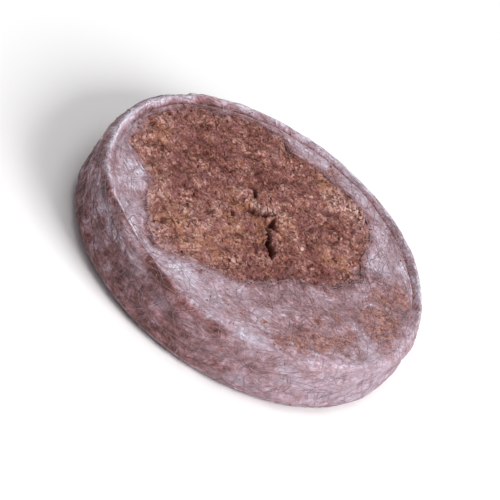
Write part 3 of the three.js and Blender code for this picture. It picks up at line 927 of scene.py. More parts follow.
def lumps(places, sizes, subdivisions, seed):
    """Joined angular lumps: points, faces and a tone for each point."""
    points, faces = BALLS[subdivisions]
    count = len(places)
    squash = rng.uniform(0.45, 1.15, (count, 1, 3))
    own = points[None] + APART * np.arange(count)[:, None, None]
    dents = sum(depth * swell(own, size, seed + 50 * n) for n, (size, depth) in enumerate(DENTS))
    shaped = points[None] * (1 + dents)[..., None]
    for _ in range(CHIPPED_SIDES):
        side = rng.normal(size=(count, 1, 3))
        side /= np.linalg.norm(side, axis=-1, keepdims=True)
        beyond = (shaped * side).sum(-1, keepdims=True) - rng.uniform(0.3, 0.8, (count, 1, 1))
        shaped = shaped - np.maximum(beyond, 0) * side
    shaped = shaped * squash * sizes[:, None, None]
    turned = np.einsum("nij,nvj->nvi", random_turns(count), shaped) + places[:, None]
    all_faces = faces[None] + (np.arange(count) * len(points))[:, None, None]
    tone = np.repeat(rng.uniform(0, 1, count), len(points))
    return turned.reshape(-1, 3), all_faces.reshape(-1, 3), tone


print(f"lumps: {CHIPPED_SIDES} chipped sides, dents of {len(DENTS)} sizes")


# %% Crumbs on the bare face
def places_in_window(count, margin, clear_of_slit):
    """Random places in the top window, clear of its edge (in mm) and of the slit (in half widths)."""
    x, y = rng.uniform(-19, 19, (2, count * 3))
    edge = frayed_outline(TOP_WINDOW, degrees_of(x, y), TOP_EDGE_SEED)
    within = np.hypot(x, y) < edge - margin
    keep = np.flatnonzero(within & (cleft_share(x, y, [SLIT] + ARMS) > clear_of_slit))[:count]
    return x[keep], y[keep]


def window_crumbs(count, smallest, largest, subdivisions, margin, clear_of_slit, seed):
    """Lumps scattered on the bare peat, most of them small."""
    x, y = places_in_window(count, margin, clear_of_slit)
    size = smallest + (largest - smallest) * rng.power(0.45, len(x))
    z = peat_top(x, y)[0] + 0.05 * size
    return lumps(np.stack([x, y, z], -1), size, subdivisions, seed)


crumb_groups = [
    window_crumbs(1000, 0.12, 0.4, subdivisions=2, margin=0.2, clear_of_slit=2.2, seed=111),
    window_crumbs(5200, 0.06, 0.17, subdivisions=1, margin=-0.35, clear_of_slit=1.1, seed=112),
]
print("crumbs on the face:", [len(group[0]) for group in crumb_groups], "points")

# %% Pale crumbs, and crumbs in the slit
TORN_LIP = [
    (-3.7, 2.3), (-3, 2.7), (-2.2, 2.6), (-1.4, 2.9), (-0.6, 3.5), (0.1, 4), (1.1, 3.2), (1.8, 2.3),
]
FAR_EDGE = [(2.4, 13.2), (4.6, 13.9), (6.9, 14.1), (8.6, 13.1)]
BRIDGES = [
    (-0.4, 1.6), (-0.35, 1.65), (0.6, 0.3), (0.65, 0.1), (0.3, -0.65), (0.55, -0.8), (0.15, -0.35),
]
SMALLEST_PALE = 0.1
BRIDGE_SIZES = 0.2, 0.3
BRIDGE_DEPTH = 0.15


def pale_crumbs(line, count, spread, largest, seed):
    """Larger lumps of pale raw fibre that stand along a line."""
    along = np.array(line)
    step = rng.uniform(0, len(along) - 1, count)
    x = np.interp(step, np.arange(len(along)), along[:, 0]) + rng.normal(0, spread, count)
    y = np.interp(step, np.arange(len(along)), along[:, 1]) + rng.normal(0, 1.5 * spread, count)
    size = SMALLEST_PALE + (largest - SMALLEST_PALE) * rng.power(0.7, count)
    places = np.stack([x, y, peat_top(x, y)[0] + 0.1 * size], -1)
    points, faces, tone = lumps(places, size, 2, seed)
    return points, faces, 0.8 + 0.9 * tone


def bridge_crumbs():
    """A few crumbs that hang in the mouth of the clefts."""
    x, y = np.array(BRIDGES).T
    places = np.stack([x, y, np.full(len(x), PEAT_LEVEL - BRIDGE_DEPTH)], -1)
    points, faces, tone = lumps(places, rng.uniform(*BRIDGE_SIZES, len(x)), 2, 116)
    return points, faces, 0.9 + 0.4 * tone


crumb_groups += [
    pale_crumbs(TORN_LIP, 90, spread=0.22, largest=0.44, seed=114),
    pale_crumbs(FAR_EDGE, 60, spread=0.4, largest=0.46, seed=115),
    bridge_crumbs(),
]
print("pale and hanging crumbs:", [len(group[0]) for group in crumb_groups[2:]], "points")

# %% Crumbs joined as one piece
LOOSE_RISE = 0.12  # loose crumbs are coloured as if they stood this high on the face


def crumb_piece(name, groups):
    """Groups of lumps joined as one piece of peat."""
    points = np.concatenate([group[0] for group in groups])
    offsets = np.cumsum([0] + [len(group[0]) for group in groups])
    faces = np.concatenate([group[1] + offset for group, offset in zip(groups, offsets)])
    each = np.ones(len(points))
    return make_piece(name, points, faces, {
        "tone": np.concatenate([group[2] for group in groups]),
        "rise": LOOSE_RISE * each,
        "cleft": 0 * each,
        "ochre": spots(OCHRE_SPOTS, points[:, 0], points[:, 1]),
        "pale": pale(points[:, 0], points[:, 1]),
        "inset": NO_LINT * each,
    }, smooth=False)


peat_crumbs = crumb_piece("peat_crumbs", crumb_groups)

# %% [markdown]
# ## Crumbs caught in the fleece
# A few crumbs cling to the cloth, most of them near the window and where it is worn. Each needs a
# place on the sleeve and the direction that points out of the cloth there, and so will the fibres, so
# one function reads both from the sleeve's grid.


# %% Places on the sleeve
def on_sleeve(row, column):
    """Place and normal on the sleeve at grid positions that may lie between its points."""
    row = np.clip(row, 0, last_row - 0.001)
    low_row, low_column = np.floor(row).astype(int), np.floor(column).astype(int)
    part_row, part_column = (row - low_row)[..., None], (column - low_column)[..., None]
    left, right = low_column % SLEEVE_SEGMENTS, (low_column + 1) % SLEEVE_SEGMENTS
    found = []
    for grid in (sleeve_surface, sleeve_normal):
        upper = grid[low_row, left] * (1 - part_column) + grid[low_row, right] * part_column
        lower = grid[low_row + 1, left] * (1 - part_column) + grid[low_row + 1, right] * part_column
        found.append(upper * (1 - part_row) + lower * part_row)
    return found


row_size = np.linalg.norm(np.gradient(sleeve_surface, axis=0), axis=-1)
column_size = np.linalg.norm(np.gradient(sleeve_surface, axis=1), axis=-1)


def scattered_on_sleeve(count, first_row, end_row, likeliness):
    """Random grid positions between two rows, spread evenly over the cloth times likeliness."""
    weight = (row_size * column_size * likeliness)[first_row:end_row]
    chosen = rng.choice(weight.size, count, p=(weight / weight.sum()).ravel())
    row = chosen // SLEEVE_SEGMENTS + first_row + rng.uniform(0, 1, count)
    return row, chosen % SLEEVE_SEGMENTS + rng.uniform(0, 1, count)


print(f"one cell of the sleeve: {row_size.mean():.2f} by {column_size.mean():.2f} mm")

# %% Stray crumbs
STRAY_CRUMBS = 1000
STRAY_SIZE, STRAY_GROWTH = 0.06, 0.14
STRAY_SINK = 0.1  # share of its size that a crumb sinks into the cloth
STRAY_ANYWHERE, STRAY_AT_WORN, STRAY_REACH = 0.12, 0.7, 1.2
wall_first, wall_end = FOLD_ROWS, FOLD_ROWS + len(wall_line)
dusty = STRAY_ANYWHERE + np.exp(-from_edge / STRAY_REACH) + STRAY_AT_WORN * worn
stray_place, stray_normal = on_sleeve(*scattered_on_sleeve(STRAY_CRUMBS, 0, wall_end - 8, dusty))
stray_size = STRAY_SIZE + STRAY_GROWTH * rng.power(0.4, STRAY_CRUMBS)
stray_place = stray_place - stray_normal * STRAY_SINK * stray_size[:, None]
stray_crumbs = crumb_piece("stray_crumbs", [lumps(stray_place, stray_size, 1, 113)])

# %% [markdown]
# ## Fibres
# Both peat and fleece are full of fibres. Hair would be the usual way, but these have to be real
# meshes, so each fibre is a thin three-sided tube, and thousands are joined in one piece. Real
# fleece fibres are a fortieth of a millimetre thick: they are drawn about twice as thick, or none
# would show in a picture with nine pixels to the millimetre.

# %% Tubes from paths
FIBRE_SIDES = 3
TIP_SHARE, TIP_GROWTH = 0.35, 0.4  # a tube's tip is thinner, and each further step is thicker


def fibre_mesh(paths, ups, thickness):
    """Points and faces of thin closed tubes along paths, and the number of points per tube."""
    count, steps, _ = paths.shape
    along = np.gradient(paths, axis=1)
    along /= np.linalg.norm(along, axis=-1, keepdims=True)
    side = np.cross(along, ups)
    side /= np.linalg.norm(side, axis=-1, keepdims=True)
    over = np.cross(side, along)
    turn = np.arange(FIBRE_SIDES) * 2 * math.pi / FIBRE_SIDES
    spoke = side[:, :, None] * np.cos(turn)[:, None] + over[:, :, None] * np.sin(turn)[:, None]
    from_end = np.minimum(np.arange(steps), np.arange(steps)[::-1])
    radius = thickness[:, None] / 2 * np.minimum(1, TIP_SHARE + TIP_GROWTH * from_end)
    points = paths[:, :, None] + spoke * radius[:, :, None, None]
    first = (np.arange(count) * steps * FIBRE_SIDES)[:, None, None]
    ring = (np.arange(steps - 1) * FIBRE_SIDES)[None, :, None]
    corner = np.arange(FIBRE_SIDES)[None, None]
    after = (corner + 1) % FIBRE_SIDES
    round_corners = (corner, after, after + FIBRE_SIDES, corner + FIBRE_SIDES)
    quads = np.stack([first + ring + place for place in round_corners], -1).reshape(-1, 4)
    start_cap = first[:, 0] + np.arange(FIBRE_SIDES)[::-1]
    end_cap = first[:, 0] + (steps - 1) * FIBRE_SIDES + np.arange(FIBRE_SIDES)
    faces = quads.tolist() + start_cap.tolist() + end_cap.tolist()
    return points.reshape(-1, 3), faces, steps * FIBRE_SIDES


print(f"tubes: {FIBRE_SIDES} sides, tips {TIP_SHARE:.0%} as thick as the rest")


# %% Paths of fibres
def wandering(steps, length, bend, heading=None):
    """Paths in the plane from (0, 0) that bend slowly: their x and y, one row per fibre."""
    count = len(length)
    if heading is None:
        heading = rng.uniform(0, 2 * math.pi, count)
    curl = rng.normal(0, bend, (count, 1)) + 0.4 * rng.normal(0, bend, (count, steps - 1)).cumsum(1)
    direction = heading[:, None] + curl.cumsum(1) * (length / steps)[:, None]
    step = (length / (steps - 1))[:, None]
    start = np.zeros((count, 1))
    x = np.concatenate([start, (step * np.cos(direction)).cumsum(1)], 1)
    y = np.concatenate([start, (step * np.sin(direction)).cumsum(1)], 1)
    return x, y


def arches(steps, height):
    """How far each fibre arches clear of the surface along its length."""
    return np.sin(np.linspace(0, math.pi, steps)) * height[:, None]


def upwards(count, steps):
    """The direction up, for every step of every fibre."""
    return np.broadcast_to(np.array([0.0, 0.0, 1.0]), (count, steps, 3))


print("an arch 0.1 mm high, in 5 steps:", arches(5, np.array([0.1])).round(2))


# %% Peat fibres
def fibre_piece(name, paths, ups, thickness, palest=1.0, paler=0.0):
    """Fibres joined as one piece, each with a random tone up to the palest, made paler or darker."""
    points, faces, points_each = fibre_mesh(paths, ups, thickness)
    tone = np.repeat(rng.uniform(0, palest, len(paths)) + paler, points_each)
    return make_piece(name, points, faces, {"tone": tone})


STEMS, STEM_STEPS = 520, 8
STEM_LENGTHS, STEM_WIDTHS = (0.5, 2.3), (0.045, 0.09)
STEM_BEND, HIGHEST_ARCH = 0.35, 0.12
BRIDGED_PIT = 0.25  # a stem spans a pit that is deeper than this
stem_x, stem_y = places_in_window(STEMS, margin=0.6, clear_of_slit=3.0)
stem_count = len(stem_x)
run_x, run_y = wandering(STEM_STEPS, rng.uniform(*STEM_LENGTHS, stem_count), STEM_BEND)
stem_x, stem_y = stem_x[:, None] + run_x, stem_y[:, None] + run_y
ground = np.maximum(peat_top(stem_x, stem_y)[0], PEAT_LEVEL - BRIDGED_PIT)
stem_z = ground + 0.02 + arches(STEM_STEPS, rng.uniform(0, HIGHEST_ARCH, stem_count))
stem_paths = np.stack([stem_x, stem_y, stem_z], -1)
stem_widths = rng.uniform(*STEM_WIDTHS, stem_count)
stem_ups = upwards(stem_count, STEM_STEPS)
peat_fibres = fibre_piece("peat_fibres", stem_paths, stem_ups, stem_widths)

# %% [markdown]
# ## Fibres of the cloth
# The fleece is felted: its fibres lie at random, but the tube was drawn as it was made, so more of
# them run round the pellet than down it. They are scattered on the sleeve's grid and follow its
# surface, some sunk in it and some clear of it. Where dust covers the cloth it covers them too, so
# their tone follows the cover, and so do the painted shade and painted highlights in it.

# %% Fleece fibres
FLEECE_FIBRE_STEPS = 9
FIBRE_LENGTHS, FIBRE_BEND = (1.8, 7.0), 0.07
THINNEST, THICKER_BY = 0.03, 0.035
DUST_AND_SHADE_SHARE, DARKEST_DUST_AND_SHADE = 1.8, -1.1  # how dust and painted shade in the cover darken a fibre's tone, and by how much at most
# How clean cloth and painted highlights in the cover make a fibre paler, and by how much at most.
CLEAN_AND_LIT_SHARE, PALEST_CLEAN_AND_LIT = 1.1, 0.8


def fleece_fibres(name, count, first_row, end_row, level_share):
    """Fibres felted on the sleeve between two rows; level_share turns them along the rows."""
    row, column = scattered_on_sleeve(count, first_row, end_row, 1 - 0.8 * worn)
    along_row, down = wandering(FLEECE_FIBRE_STEPS, rng.uniform(*FIBRE_LENGTHS, count), FIBRE_BEND)
    near = (row.astype(int), column.astype(int) % SLEEVE_SEGMENTS)
    rows = row[:, None] + down * (1 - level_share) / row_size[near][:, None]
    columns = column[:, None] + along_row / column_size[near][:, None]
    place, normal = on_sleeve(np.clip(rows, 0.5, last_row - 1), columns)
    thickness = THINNEST + THICKER_BY * rng.power(0.6, count)
    lift = rng.uniform(-0.3, 0.35, count) * thickness
    clear = arches(FLEECE_FIBRE_STEPS, rng.exponential(0.014, count)) + lift[:, None]
    place = place + normal * clear[..., None]
    place[..., 2] = np.maximum(place[..., 2], CLOTH_OFF_FLOOR)
    darker = np.clip(DUST_AND_SHADE_SHARE * cover[near], DARKEST_DUST_AND_SHADE, 0)
    paler = np.clip(CLEAN_AND_LIT_SHARE * cover[near], 0, PALEST_CLEAN_AND_LIT)
    return fibre_piece(name, place, normal, thickness, paler=darker + paler)


felt_pieces = [
    fleece_fibres("fleece_fibres_face", 2500, 0, wall_first + 12, level_share=0.3),
    fleece_fibres("fleece_fibres_wall", 3100, wall_first + 6, wall_end, level_share=0.5),
    fleece_fibres("fleece_fibres_under", 1100, wall_end - 4, last_row - 1, level_share=0.0),
]

# %% [markdown]
# ## The frayed edge of the window
# Cut fleece frays: single fibres stick out of its edge and lie over the peat. Each starts on the
# cloth a little outside the edge and runs inward, more or less square to it.

# %% Fringe
FRINGE_FIBRES, FRINGE_STEPS = 210, 8
FRINGE_START, FRINGE_LENGTHS = (0.1, 0.7), (0.7, 1.9)
FRINGE_WIDTHS = 0.03, 0.05
FRINGE_TURN, FRINGE_BEND = 0.75, 0.35  # how far they turn from square to the edge, and bend
FRINGE_PALEST = 0.55  # they are dusty from the peat
FRINGE_CLEAR = 0.03
fringe_degrees = rng.uniform(0, 360, FRINGE_FIBRES)
fringe_turn = np.radians(fringe_degrees)
edge_radius = frayed_outline(TOP_WINDOW, fringe_degrees, TOP_EDGE_SEED)
fringe_start = edge_radius + rng.uniform(*FRINGE_START, FRINGE_FIBRES)
inward = fringe_turn + math.pi + rng.normal(0, FRINGE_TURN, FRINGE_FIBRES)
fringe_length = rng.uniform(*FRINGE_LENGTHS, FRINGE_FIBRES)
run_x, run_y = wandering(FRINGE_STEPS, fringe_length, FRINGE_BEND, inward)
fringe_x = (fringe_start * np.cos(fringe_turn))[:, None] + run_x
fringe_y = (fringe_start * np.sin(fringe_turn))[:, None] + run_y
edge_there = frayed_outline(TOP_WINDOW, degrees_of(fringe_x, fringe_y), TOP_EDGE_SEED)
on_cloth = smoothstep(np.hypot(fringe_x, fringe_y) - edge_there, -0.15, 0.3)
peat_height = np.maximum(peat_top(fringe_x, fringe_y)[0], PEAT_LEVEL - 0.1)
cloth_height = FOLD_HEIGHT + waves(FACE_WAVES, fringe_x, fringe_y) + FRINGE_CLEAR
fringe_z = peat_height + (cloth_height - peat_height) * on_cloth + FRINGE_CLEAR
fringe_z = fringe_z + arches(FRINGE_STEPS, rng.exponential(0.03, FRINGE_FIBRES))
fringe_paths = np.stack([fringe_x, fringe_y, fringe_z], -1)
fringe_widths = rng.uniform(*FRINGE_WIDTHS, FRINGE_FIBRES)
fringe_ups = upwards(FRINGE_FIBRES, FRINGE_STEPS)
fringe = fibre_piece("fleece_fringe", fringe_paths, fringe_ups, fringe_widths, FRINGE_PALEST)
felt_pieces.append(fringe)

# %% [markdown]
# ## Materials: how they are put together
# Each material is a small graph of procedural textures. Colours are picked as sRGB hex, as a paint
# chart gives them, and turned to the linear values that the shader works in. The textures read the
# place on the pellet in millimetres, so a scale is one over a real size. Most patterns are several
# noises added up, so one function does that for a list of sizes and weights. What changes slowly over
# the pellet was stored on the points above, and Attribute nodes read it.

# %% Colours
def linear(hex_colour):
    """An sRGB hex colour as Blender's linear red, green, blue and alpha."""
    shares = [int(hex_colour[start : start + 2], 16) / 255 for start in (1, 3, 5)]
    return [s / 12.92 if s <= 0.04045 else ((s + 0.055) / 1.055) ** 2.4 for s in shares] + [1.0]


print("mid grey #808080 is linear", round(linear("#808080")[0], 3))

# %% Nodes and materials
MIX_SHARE, MIX_FROM, MIX_TO, MIXED = 0, 6, 7, 2  # sockets of a Mix node that mixes colours


def add(tree, kind, inputs=None, stops=(), **settings):
    """Adds a node with its settings, sets its inputs or links them, and places any ramp stops."""
    node = tree.nodes.new("ShaderNode" + kind)
    for setting, value in settings.items():
        setattr(node, setting, value)
    for socket, value in (inputs or {}).items():
        if isinstance(value, bpy.types.NodeSocket):
            tree.links.new(value, node.inputs[socket])
        else:
            node.inputs[socket].default_value = value
    for number, (position, hex_colour) in enumerate(stops):
        elements = node.color_ramp.elements
        stop = elements[number] if number < 2 else elements.new(position)
        stop.position, stop.color = position, linear(hex_colour)
    return node


def start_material(name):
    """A new material, its node tree, and the place on the pellet in millimetres."""
    material = bpy.data.materials.new(name)
    material.use_nodes = True
    tree = material.node_tree
    tree.nodes.clear()
    place = add(tree, "TexCoord").outputs["Object"]
    scaled = add(tree, "VectorMath", {0: place, "Scale": 1 / MM}, operation="SCALE")
    return material, tree, scaled.outputs[0]


def dress(material, *pieces):
    """Gives the pieces this material alone."""
    for piece in pieces:
        piece.data.materials.clear()
        piece.data.materials.append(material)
    print(f"{material.name}: on {', '.join(piece.name for piece in pieces)}")


print(f"a Mix node of colours takes sockets {MIX_SHARE}, {MIX_FROM} and {MIX_TO}, and gives {MIXED}")

# %% Patterns of several noises
NOISE_DETAIL, NOISE_ROUGHNESS = 2.0, 0.6  # each noise has two finer layers of its own


def summed(tree, parts, start):
    """Adds up (socket, weight) pairs from a starting value."""
    total = start
    for socket, weight in parts:
        total = add(tree, "Math", {0: socket, 1: weight, 2: total}, operation="MULTIPLY_ADD").outputs[0]
    return total


def layered(tree, place, layers, parts=(), middle=0.5):
    """Layers of noise, each (size in mm, weight), about a middle value, and weighted parts."""
    noises = [
        add(tree, "TexNoise", {
            "Vector": place, "Scale": 1 / size, "Detail": NOISE_DETAIL, "Roughness": NOISE_ROUGHNESS,
        })
        for size, _ in layers
    ]
    weights = [weight for _, weight in layers]
    pairs = [(noise.outputs["Fac"], weight) for noise, weight in zip(noises, weights)]
    return summed(tree, pairs + list(parts), middle - sum(weights) / 2)


print(f"each noise: detail {NOISE_DETAIL}, roughness {NOISE_ROUGHNESS}")


# %% [markdown]
# ## Milled peat
# Peat is half-rotted moss, here milled and pressed dry. It is matt, with the IOR of cellulose, 1.5,
# which hardly shows because the surface is so broken. The crumbs run from near black humus to pale
# moss, in a red-brown that turns to ochre where raw fibre lies on top. Pits and clefts are dark, as
# they hold the shade. Near the window's edge a little lint from the fleece lies on it.

# %% Colours and patterns of the peat
CRUMB_COLOURS = [
    (0.0, "#502620"), (0.2, "#683933"), (0.38, "#7b4c45"), (0.52, "#895951"), (0.68, "#996a62"),
    (0.84, "#b0837a"), (1.0, "#cfaaa1"),
]
DAMP_PEAT, RAW_MOSS, LINT, SHADED_PEAT = "#87565a", "#b07b58", "#b3959a", "#54261a"
CRUMB_LAYERS = [(4.0, 0.3), (1.4, 0.6), (0.6, 0.85), (0.3, 0.95), (0.17, 0.9)]  # mm, weight
TONE_WEIGHT, PALE_WEIGHT, OCHRE_WEIGHT, INSET_WEIGHT = 0.6, 0.19, 0.65, -1.6
DAMP_PATCHES, MOSS_PATCHES, LINT_PATCHES = [(2.4, 3.0)], [(0.7, 3.0)], [(0.7, 3.2)]
MOST_DAMP, MOST_MOSS, MOST_LINT, MOST_SHADE = 0.45, 0.5, 0.75, 1.0  # each tints at most this much
PIT_FROM, PIT_FULL = -0.2, -0.5  # mm: relief below this is shaded, and fully so from here on
GRIT_LAYERS, GRIT_RELIEF = [(0.2, 1.0), (0.09, 0.6)], 0.11
print(f"peat: coloured in patches of {[size for size, _ in CRUMB_LAYERS]} mm")


# %% Milled peat
def milled_peat():
    material, tree, place = start_material("milled_peat")
    tone, paleness, ochre, in_from_edge, rise, cleft = (
        add(tree, "Attribute", attribute_name=name).outputs["Fac"]
        for name in ("tone", "pale", "ochre", "inset", "rise", "cleft")
    )
    crumb = layered(tree, place, CRUMB_LAYERS, [(tone, TONE_WEIGHT), (paleness, PALE_WEIGHT)], 0.25)
    colour = add(tree, "ValToRGB", {"Fac": crumb}, CRUMB_COLOURS).outputs["Color"]
    damp = layered(tree, place, DAMP_PATCHES, middle=0.1)
    mossy = layered(tree, place, MOSS_PATCHES, [(ochre, OCHRE_WEIGHT)], -0.2)
    lint = layered(tree, place, LINT_PATCHES, [(in_from_edge, INSET_WEIGHT)], 0.28)
    pit = add(tree, "MapRange", {"Value": rise, "From Min": PIT_FROM, "From Max": PIT_FULL})
    shade = add(tree, "Math", {0: pit.outputs["Result"], 1: cleft}, operation="MAXIMUM").outputs[0]
    tints = [
        (damp, MOST_DAMP, DAMP_PEAT), (mossy, MOST_MOSS, RAW_MOSS), (lint, MOST_LINT, LINT),
        (shade, MOST_SHADE, SHADED_PEAT),
    ]
    for amount, most, tint in tints:
        share = add(tree, "Clamp", {"Value": amount, "Max": most}).outputs[0]
        mixing = {MIX_SHARE: share, MIX_FROM: colour, MIX_TO: linear(tint)}
        colour = add(tree, "Mix", mixing, data_type="RGBA").outputs[MIXED]
    grit = layered(tree, place, GRIT_LAYERS)
    bump = add(tree, "Bump", {"Height": grit, "Strength": 1.0, "Distance": GRIT_RELIEF * MM})
    shader = add(tree, "BsdfPrincipled", {
        "Base Color": colour, "Roughness": 0.95, "IOR": 1.5, "Specular IOR Level": 0.25,
        "Normal": bump.outputs["Normal"],
    })
    add(tree, "OutputMaterial", {"Surface": shader.outputs["BSDF"]})
    return material


dress(milled_peat(), pressed_peat, peat_crumbs, stray_crumbs)

# %% [markdown]
# ## Moss stems
# The fibres in milled peat are stems of moss and cotton grass: straw to dark brown, dull, a little
# shinier than the crumbs because each is smooth along its length.

# %% Moss stems
STEM_COLOURS = [(0.0, "#5c3a31"), (0.4, "#85594d"), (0.75, "#a87e6e"), (1.0, "#c8a894")]
STAINED_STEM = "#6b4238"


def moss_stem():
    material, tree, place = start_material("moss_stem")
    tone = add(tree, "Attribute", attribute_name="tone").outputs["Fac"]
    colour = add(tree, "ValToRGB", {"Fac": tone}, STEM_COLOURS).outputs["Color"]
    stains = layered(tree, place, [(0.3, 1.0)])
    mixing = {MIX_SHARE: stains, MIX_FROM: colour, MIX_TO: linear(STAINED_STEM)}
    colour = add(tree, "Mix", mixing, data_type="RGBA").outputs[MIXED]
    shader = add(tree, "BsdfPrincipled", {
        "Base Color": colour, "Roughness": 0.75, "IOR": 1.5, "Specular IOR Level": 0.3,
    })
    add(tree, "OutputMaterial", {"Surface": shader.outputs["BSDF"]})
    return material


dress(moss_stem(), peat_fibres)

# %% [markdown]
# ## Spun fleece
# The sleeve is a spun fleece a tenth of a millimetre thick: fibres laid at random and bonded. It is
# so thin that the brown peat shows between the fibres, so the eye sees a lilac-grey haze over brown.
# One value, the cover, says how much fibre lies at a place, and also holds the painted highlights and
# painted shade of the lip, the crease and the wall; a ramp runs with it from peat brown to fibre white.
# Slow mottling of one to three millimetres moves the cover. Fine mottling and streaks, half a
# millimetre and less, mostly change the lightness alone, because they are shadows between fibres of
# one colour. Webs of thin curved lines, from cell noise with bent coordinates, give the fibres that
# are too many to model. Where the cloth is worn through, the peat's colours show.

# %% Colours and patterns of the fleece
COVER_COLOURS = [
    (0.0, "#4d2e2e"), (0.2, "#653f3d"), (0.34, "#83595b"), (0.5, "#99767d"), (0.66, "#aa929d"),
    (0.82, "#bbadba"), (1.0, "#d2cdda"),
]
WORN_COLOURS = [(0.22, "#582d29"), (0.5, "#8c594f"), (0.78, "#bd8b7b")]
COOL_FIBRE = "#a9a4b4"
SLOW_MOTTLING = [(3.4, 1.15), (1.1, 0.9)]  # mm, weight
FINE_MOTTLING = [(0.45, 1.15), (0.2, 0.7)]  # drawn coarser than the fibres, or it wouldn't show
STREAKS = [(1.3, 0.8), (0.5, 1.0)]
WORN_GRAIN = [(0.7, 1.5), (0.25, 1.4)]
WORN_BREAKS = [(0.8, 3.0), (0.35, 2.6)]
DUST_PATCHES, DUST_WEIGHT, LINE_WEIGHT = [(0.9, 5.5)], -0.4, 0.08
SLOW_IN_COVER, FINE_IN_COVER, COVER_LEVEL = 0.8, 0.3, 0.6
COOL_PATCHES, LILAC_WEIGHT, MOST_COOL = [(4.0, 1.6)], 0.45, 0.5
WORN_WEIGHT, MOST_WORN = 2.0, 0.92
FELT_BUMP = 0.05  # mm: the relief of the finest fibres, left to the shader
print(f"fleece: mottled at {[size for size, _ in SLOW_MOTTLING + FINE_MOTTLING]} mm")

# %% Webs of lines
WEBS = [(0.9, (1.0, 0.5, 1.6)), (0.6, (0.5, 1.1, 1.5)), (1.3, (0.8, 0.9, 2.4))]  # mm, stretch
WEB_LINE = 0.05  # half a line's width, as a share of the web's size
WEB_BEND, WEB_BEND_SIZE = 0.6, 1.6


def web_lines(tree, place):
    """Thin curved lines, one socket for each web."""
    bend = add(tree, "TexNoise", {"Vector": place, "Scale": 1 / WEB_BEND_SIZE, "Detail": 1.0})
    lines = []
    for size, stretch in WEBS:
        drawn = add(tree, "VectorMath", {0: place, 1: stretch}, operation="MULTIPLY").outputs[0]
        inputs = {0: bend.outputs["Color"], 1: (WEB_BEND,) * 3, 2: drawn}
        bent = add(tree, "VectorMath", inputs, operation="MULTIPLY_ADD").outputs[0]
        cells = add(tree, "TexVoronoi", {"Vector": bent, "Scale": 1 / size}, feature="DISTANCE_TO_EDGE")
        inputs = {"Value": cells.outputs["Distance"], "From Min": WEB_LINE, "From Max": 0.01}
        lines.append(add(tree, "MapRange", inputs).outputs["Result"])
    return lines


print(f"webs: {[size for size, _ in WEBS]} mm from line to line")


# %% Spun fleece
def spun_fleece():
    material, tree, place = start_material("spun_fleece")
    cover_here, mottle_here, lilac_here, worn_here = (
        add(tree, "Attribute", attribute_name=name).outputs["Fac"]
        for name in ("cover", "mottle", "lilac", "worn")
    )
    round_rim = add(tree, "Attribute", attribute_name="drawn_round").outputs["Vector"]

    web = [(line, LINE_WEIGHT) for line in web_lines(tree, place)]
    streaks = layered(tree, round_rim, STREAKS, middle=0.0)
    fine = layered(tree, place, FINE_MOTTLING, web + [(streaks, 1.0)], 0.0)
    fine = add(tree, "Math", {0: fine, 1: mottle_here}, operation="MULTIPLY").outputs[0]
    dust = layered(tree, place, DUST_PATCHES, middle=-0.65)
    dust = add(tree, "Clamp", {"Value": dust}).outputs[0]
    slow = layered(tree, place, SLOW_MOTTLING, [(dust, DUST_WEIGHT)], -0.03)
    moved = {0: slow, 1: mottle_here, 2: cover_here}
    slow = add(tree, "Math", moved, operation="MULTIPLY_ADD").outputs[0]
    covered = summed(tree, [(slow, SLOW_IN_COVER), (fine, FINE_IN_COVER)], COVER_LEVEL)

    colour = add(tree, "ValToRGB", {"Fac": covered}, COVER_COLOURS).outputs["Color"]
    light = add(tree, "Math", {0: fine, 1: 1.0}, operation="ADD").outputs[0]
    colour = add(tree, "VectorMath", {0: colour, "Scale": light}, operation="SCALE").outputs[0]
    grain = layered(tree, place, WORN_GRAIN)
    dirt = add(tree, "ValToRGB", {"Fac": grain}, WORN_COLOURS).outputs["Color"]
    # The lilac read here is partly a painted highlight on the lit side and rim.
    cool = layered(tree, place, COOL_PATCHES, [(lilac_here, LILAC_WEIGHT)], -0.05)
    bare = layered(tree, round_rim, WORN_BREAKS, [(worn_here, WORN_WEIGHT)], -0.7)
    for amount, most, tint in ((cool, MOST_COOL, linear(COOL_FIBRE)), (bare, MOST_WORN, dirt)):
        share = add(tree, "Clamp", {"Value": amount, "Max": most}).outputs[0]
        mixing = {MIX_SHARE: share, MIX_FROM: colour, MIX_TO: tint}
        colour = add(tree, "Mix", mixing, data_type="RGBA").outputs[MIXED]

    height = summed(tree, [(fine, 0.5)], covered)
    bump = add(tree, "Bump", {"Height": height, "Strength": 0.6, "Distance": FELT_BUMP * MM})
    shader = add(tree, "BsdfPrincipled", {
        "Base Color": colour, "Roughness": 0.9, "IOR": 1.49, "Specular IOR Level": 0.25,
        "Sheen Weight": 0.1, "Sheen Roughness": 0.5, "Normal": bump.outputs["Normal"],
    })
    add(tree, "OutputMaterial", {"Surface": shader.outputs["BSDF"]})
    return material


dress(spun_fleece(), folded_fleece)

# %% [markdown]
# ## Spun fibre
# The single fibres are the same stuff as the cloth, spun from clear plastic: a pale lilac grey where
# clean, browner where peat dust clings, and a little shinier than the felt as a whole.

# %% Spun fibre
FIBRE_COLOURS = [(0.0, "#75524f"), (0.35, "#a18489"), (0.7, "#bba3ad"), (1.0, "#d9cad4")]
FIBRE_MOTTLING = [(2.6, 0.5), (0.62, 0.8)]


def spun_fibre():
    material, tree, place = start_material("spun_fibre")
    tone = add(tree, "Attribute", attribute_name="tone").outputs["Fac"]
    tone = layered(tree, place, FIBRE_MOTTLING, [(tone, 0.45)], 0.28)
    colour = add(tree, "ValToRGB", {"Fac": tone}, FIBRE_COLOURS).outputs["Color"]
    shader = add(tree, "BsdfPrincipled", {
        "Base Color": colour, "Roughness": 0.6, "IOR": 1.49, "Specular IOR Level": 0.35,
    })
    add(tree, "OutputMaterial", {"Surface": shader.outputs["BSDF"]})
    return material


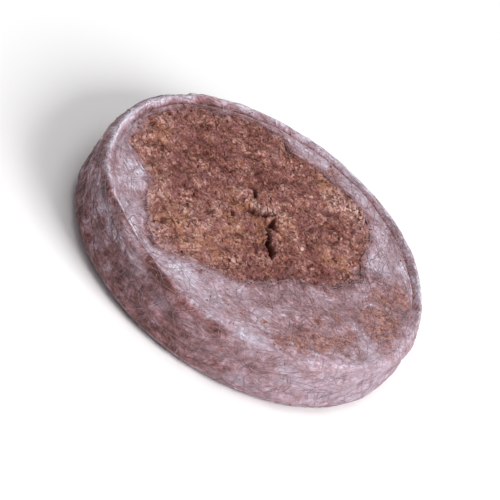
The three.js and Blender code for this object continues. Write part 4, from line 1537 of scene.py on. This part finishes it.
dress(spun_fibre(), *felt_pieces)

# %% [markdown]
# ## Floor and light
# The pellet lies on a plain pale floor under soft studio light. The photograph is lit from the right
# and a little from the front: the near wall is brightest at its right end, and the left of it is in
# shade. A large soft lamp stands there, a weaker one hangs overhead, and the room gives the rest.

# %% Floor
FLOOR_SIZE = 3.0
PAPER_WHITE = "#f6f5f5"
half_floor = FLOOR_SIZE / 2
floor_corners = [(x * half_floor, y * half_floor, 0) for x, y in ((-1, -1), (1, -1), (1, 1), (-1, 1))]
floor_mesh = bpy.data.meshes.new("floor")
floor_mesh.from_pydata(floor_corners, [], [(0, 1, 2, 3)])
floor = bpy.data.objects.new("floor", floor_mesh)
bpy.context.scene.collection.objects.link(floor)
floor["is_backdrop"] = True
floor_material, floor_tree, _ = start_material("white_paper")
floor_shader = add(floor_tree, "BsdfPrincipled", {
    "Base Color": linear(PAPER_WHITE), "Roughness": 0.9, "Specular IOR Level": 0.1,
})
add(floor_tree, "OutputMaterial", {"Surface": floor_shader.outputs["BSDF"]})
dress(floor_material, floor)


# %% Lights
def softbox(name, direction, distance, size, watts):
    """A square area light that shines on the pellet from this direction."""
    data = bpy.data.lights.new(name, "AREA")
    data.size = size
    data.energy = watts
    light = bpy.data.objects.new(name, data)
    bpy.context.scene.collection.objects.link(light)
    away = Vector(direction).normalized()
    light.location = away * distance
    light.rotation_euler = away.to_track_quat("Z", "Y").to_euler()
    print(f"{name}: {watts} W, {size} m wide, {distance} m away")


softbox("right_softbox", (0.74, -0.35, 0.57), distance=0.7, size=0.35, watts=5.0)
softbox("top_softbox", (0.05, -0.1, 1.0), distance=0.8, size=0.6, watts=2.7)

# %% Room
ROOM_LIGHT = 0.28
world = bpy.data.worlds.new("studio")
world.use_nodes = True
room = world.node_tree.nodes["Background"].inputs
room["Color"].default_value = (1.0, 1.0, 1.0, 1.0)
room["Strength"].default_value = ROOM_LIGHT
bpy.context.scene.world = world
bpy.context.scene.view_settings.view_transform = "Standard"
print(f"room: white, strength {ROOM_LIGHT}")

# %% [markdown]
# ## Size after dressing
# The dressed pellet must stay as large as the solid model, so how much its box has grown over the
# solid model's box is printed, in millimetres.

# %% Sizes and finish
seen_low, seen_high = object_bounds()
growth = [round((seen - solid) / MM, 2) for seen, solid in zip(seen_high - seen_low, cad_high - cad_low)]
print("grown by, in mm:", growth)
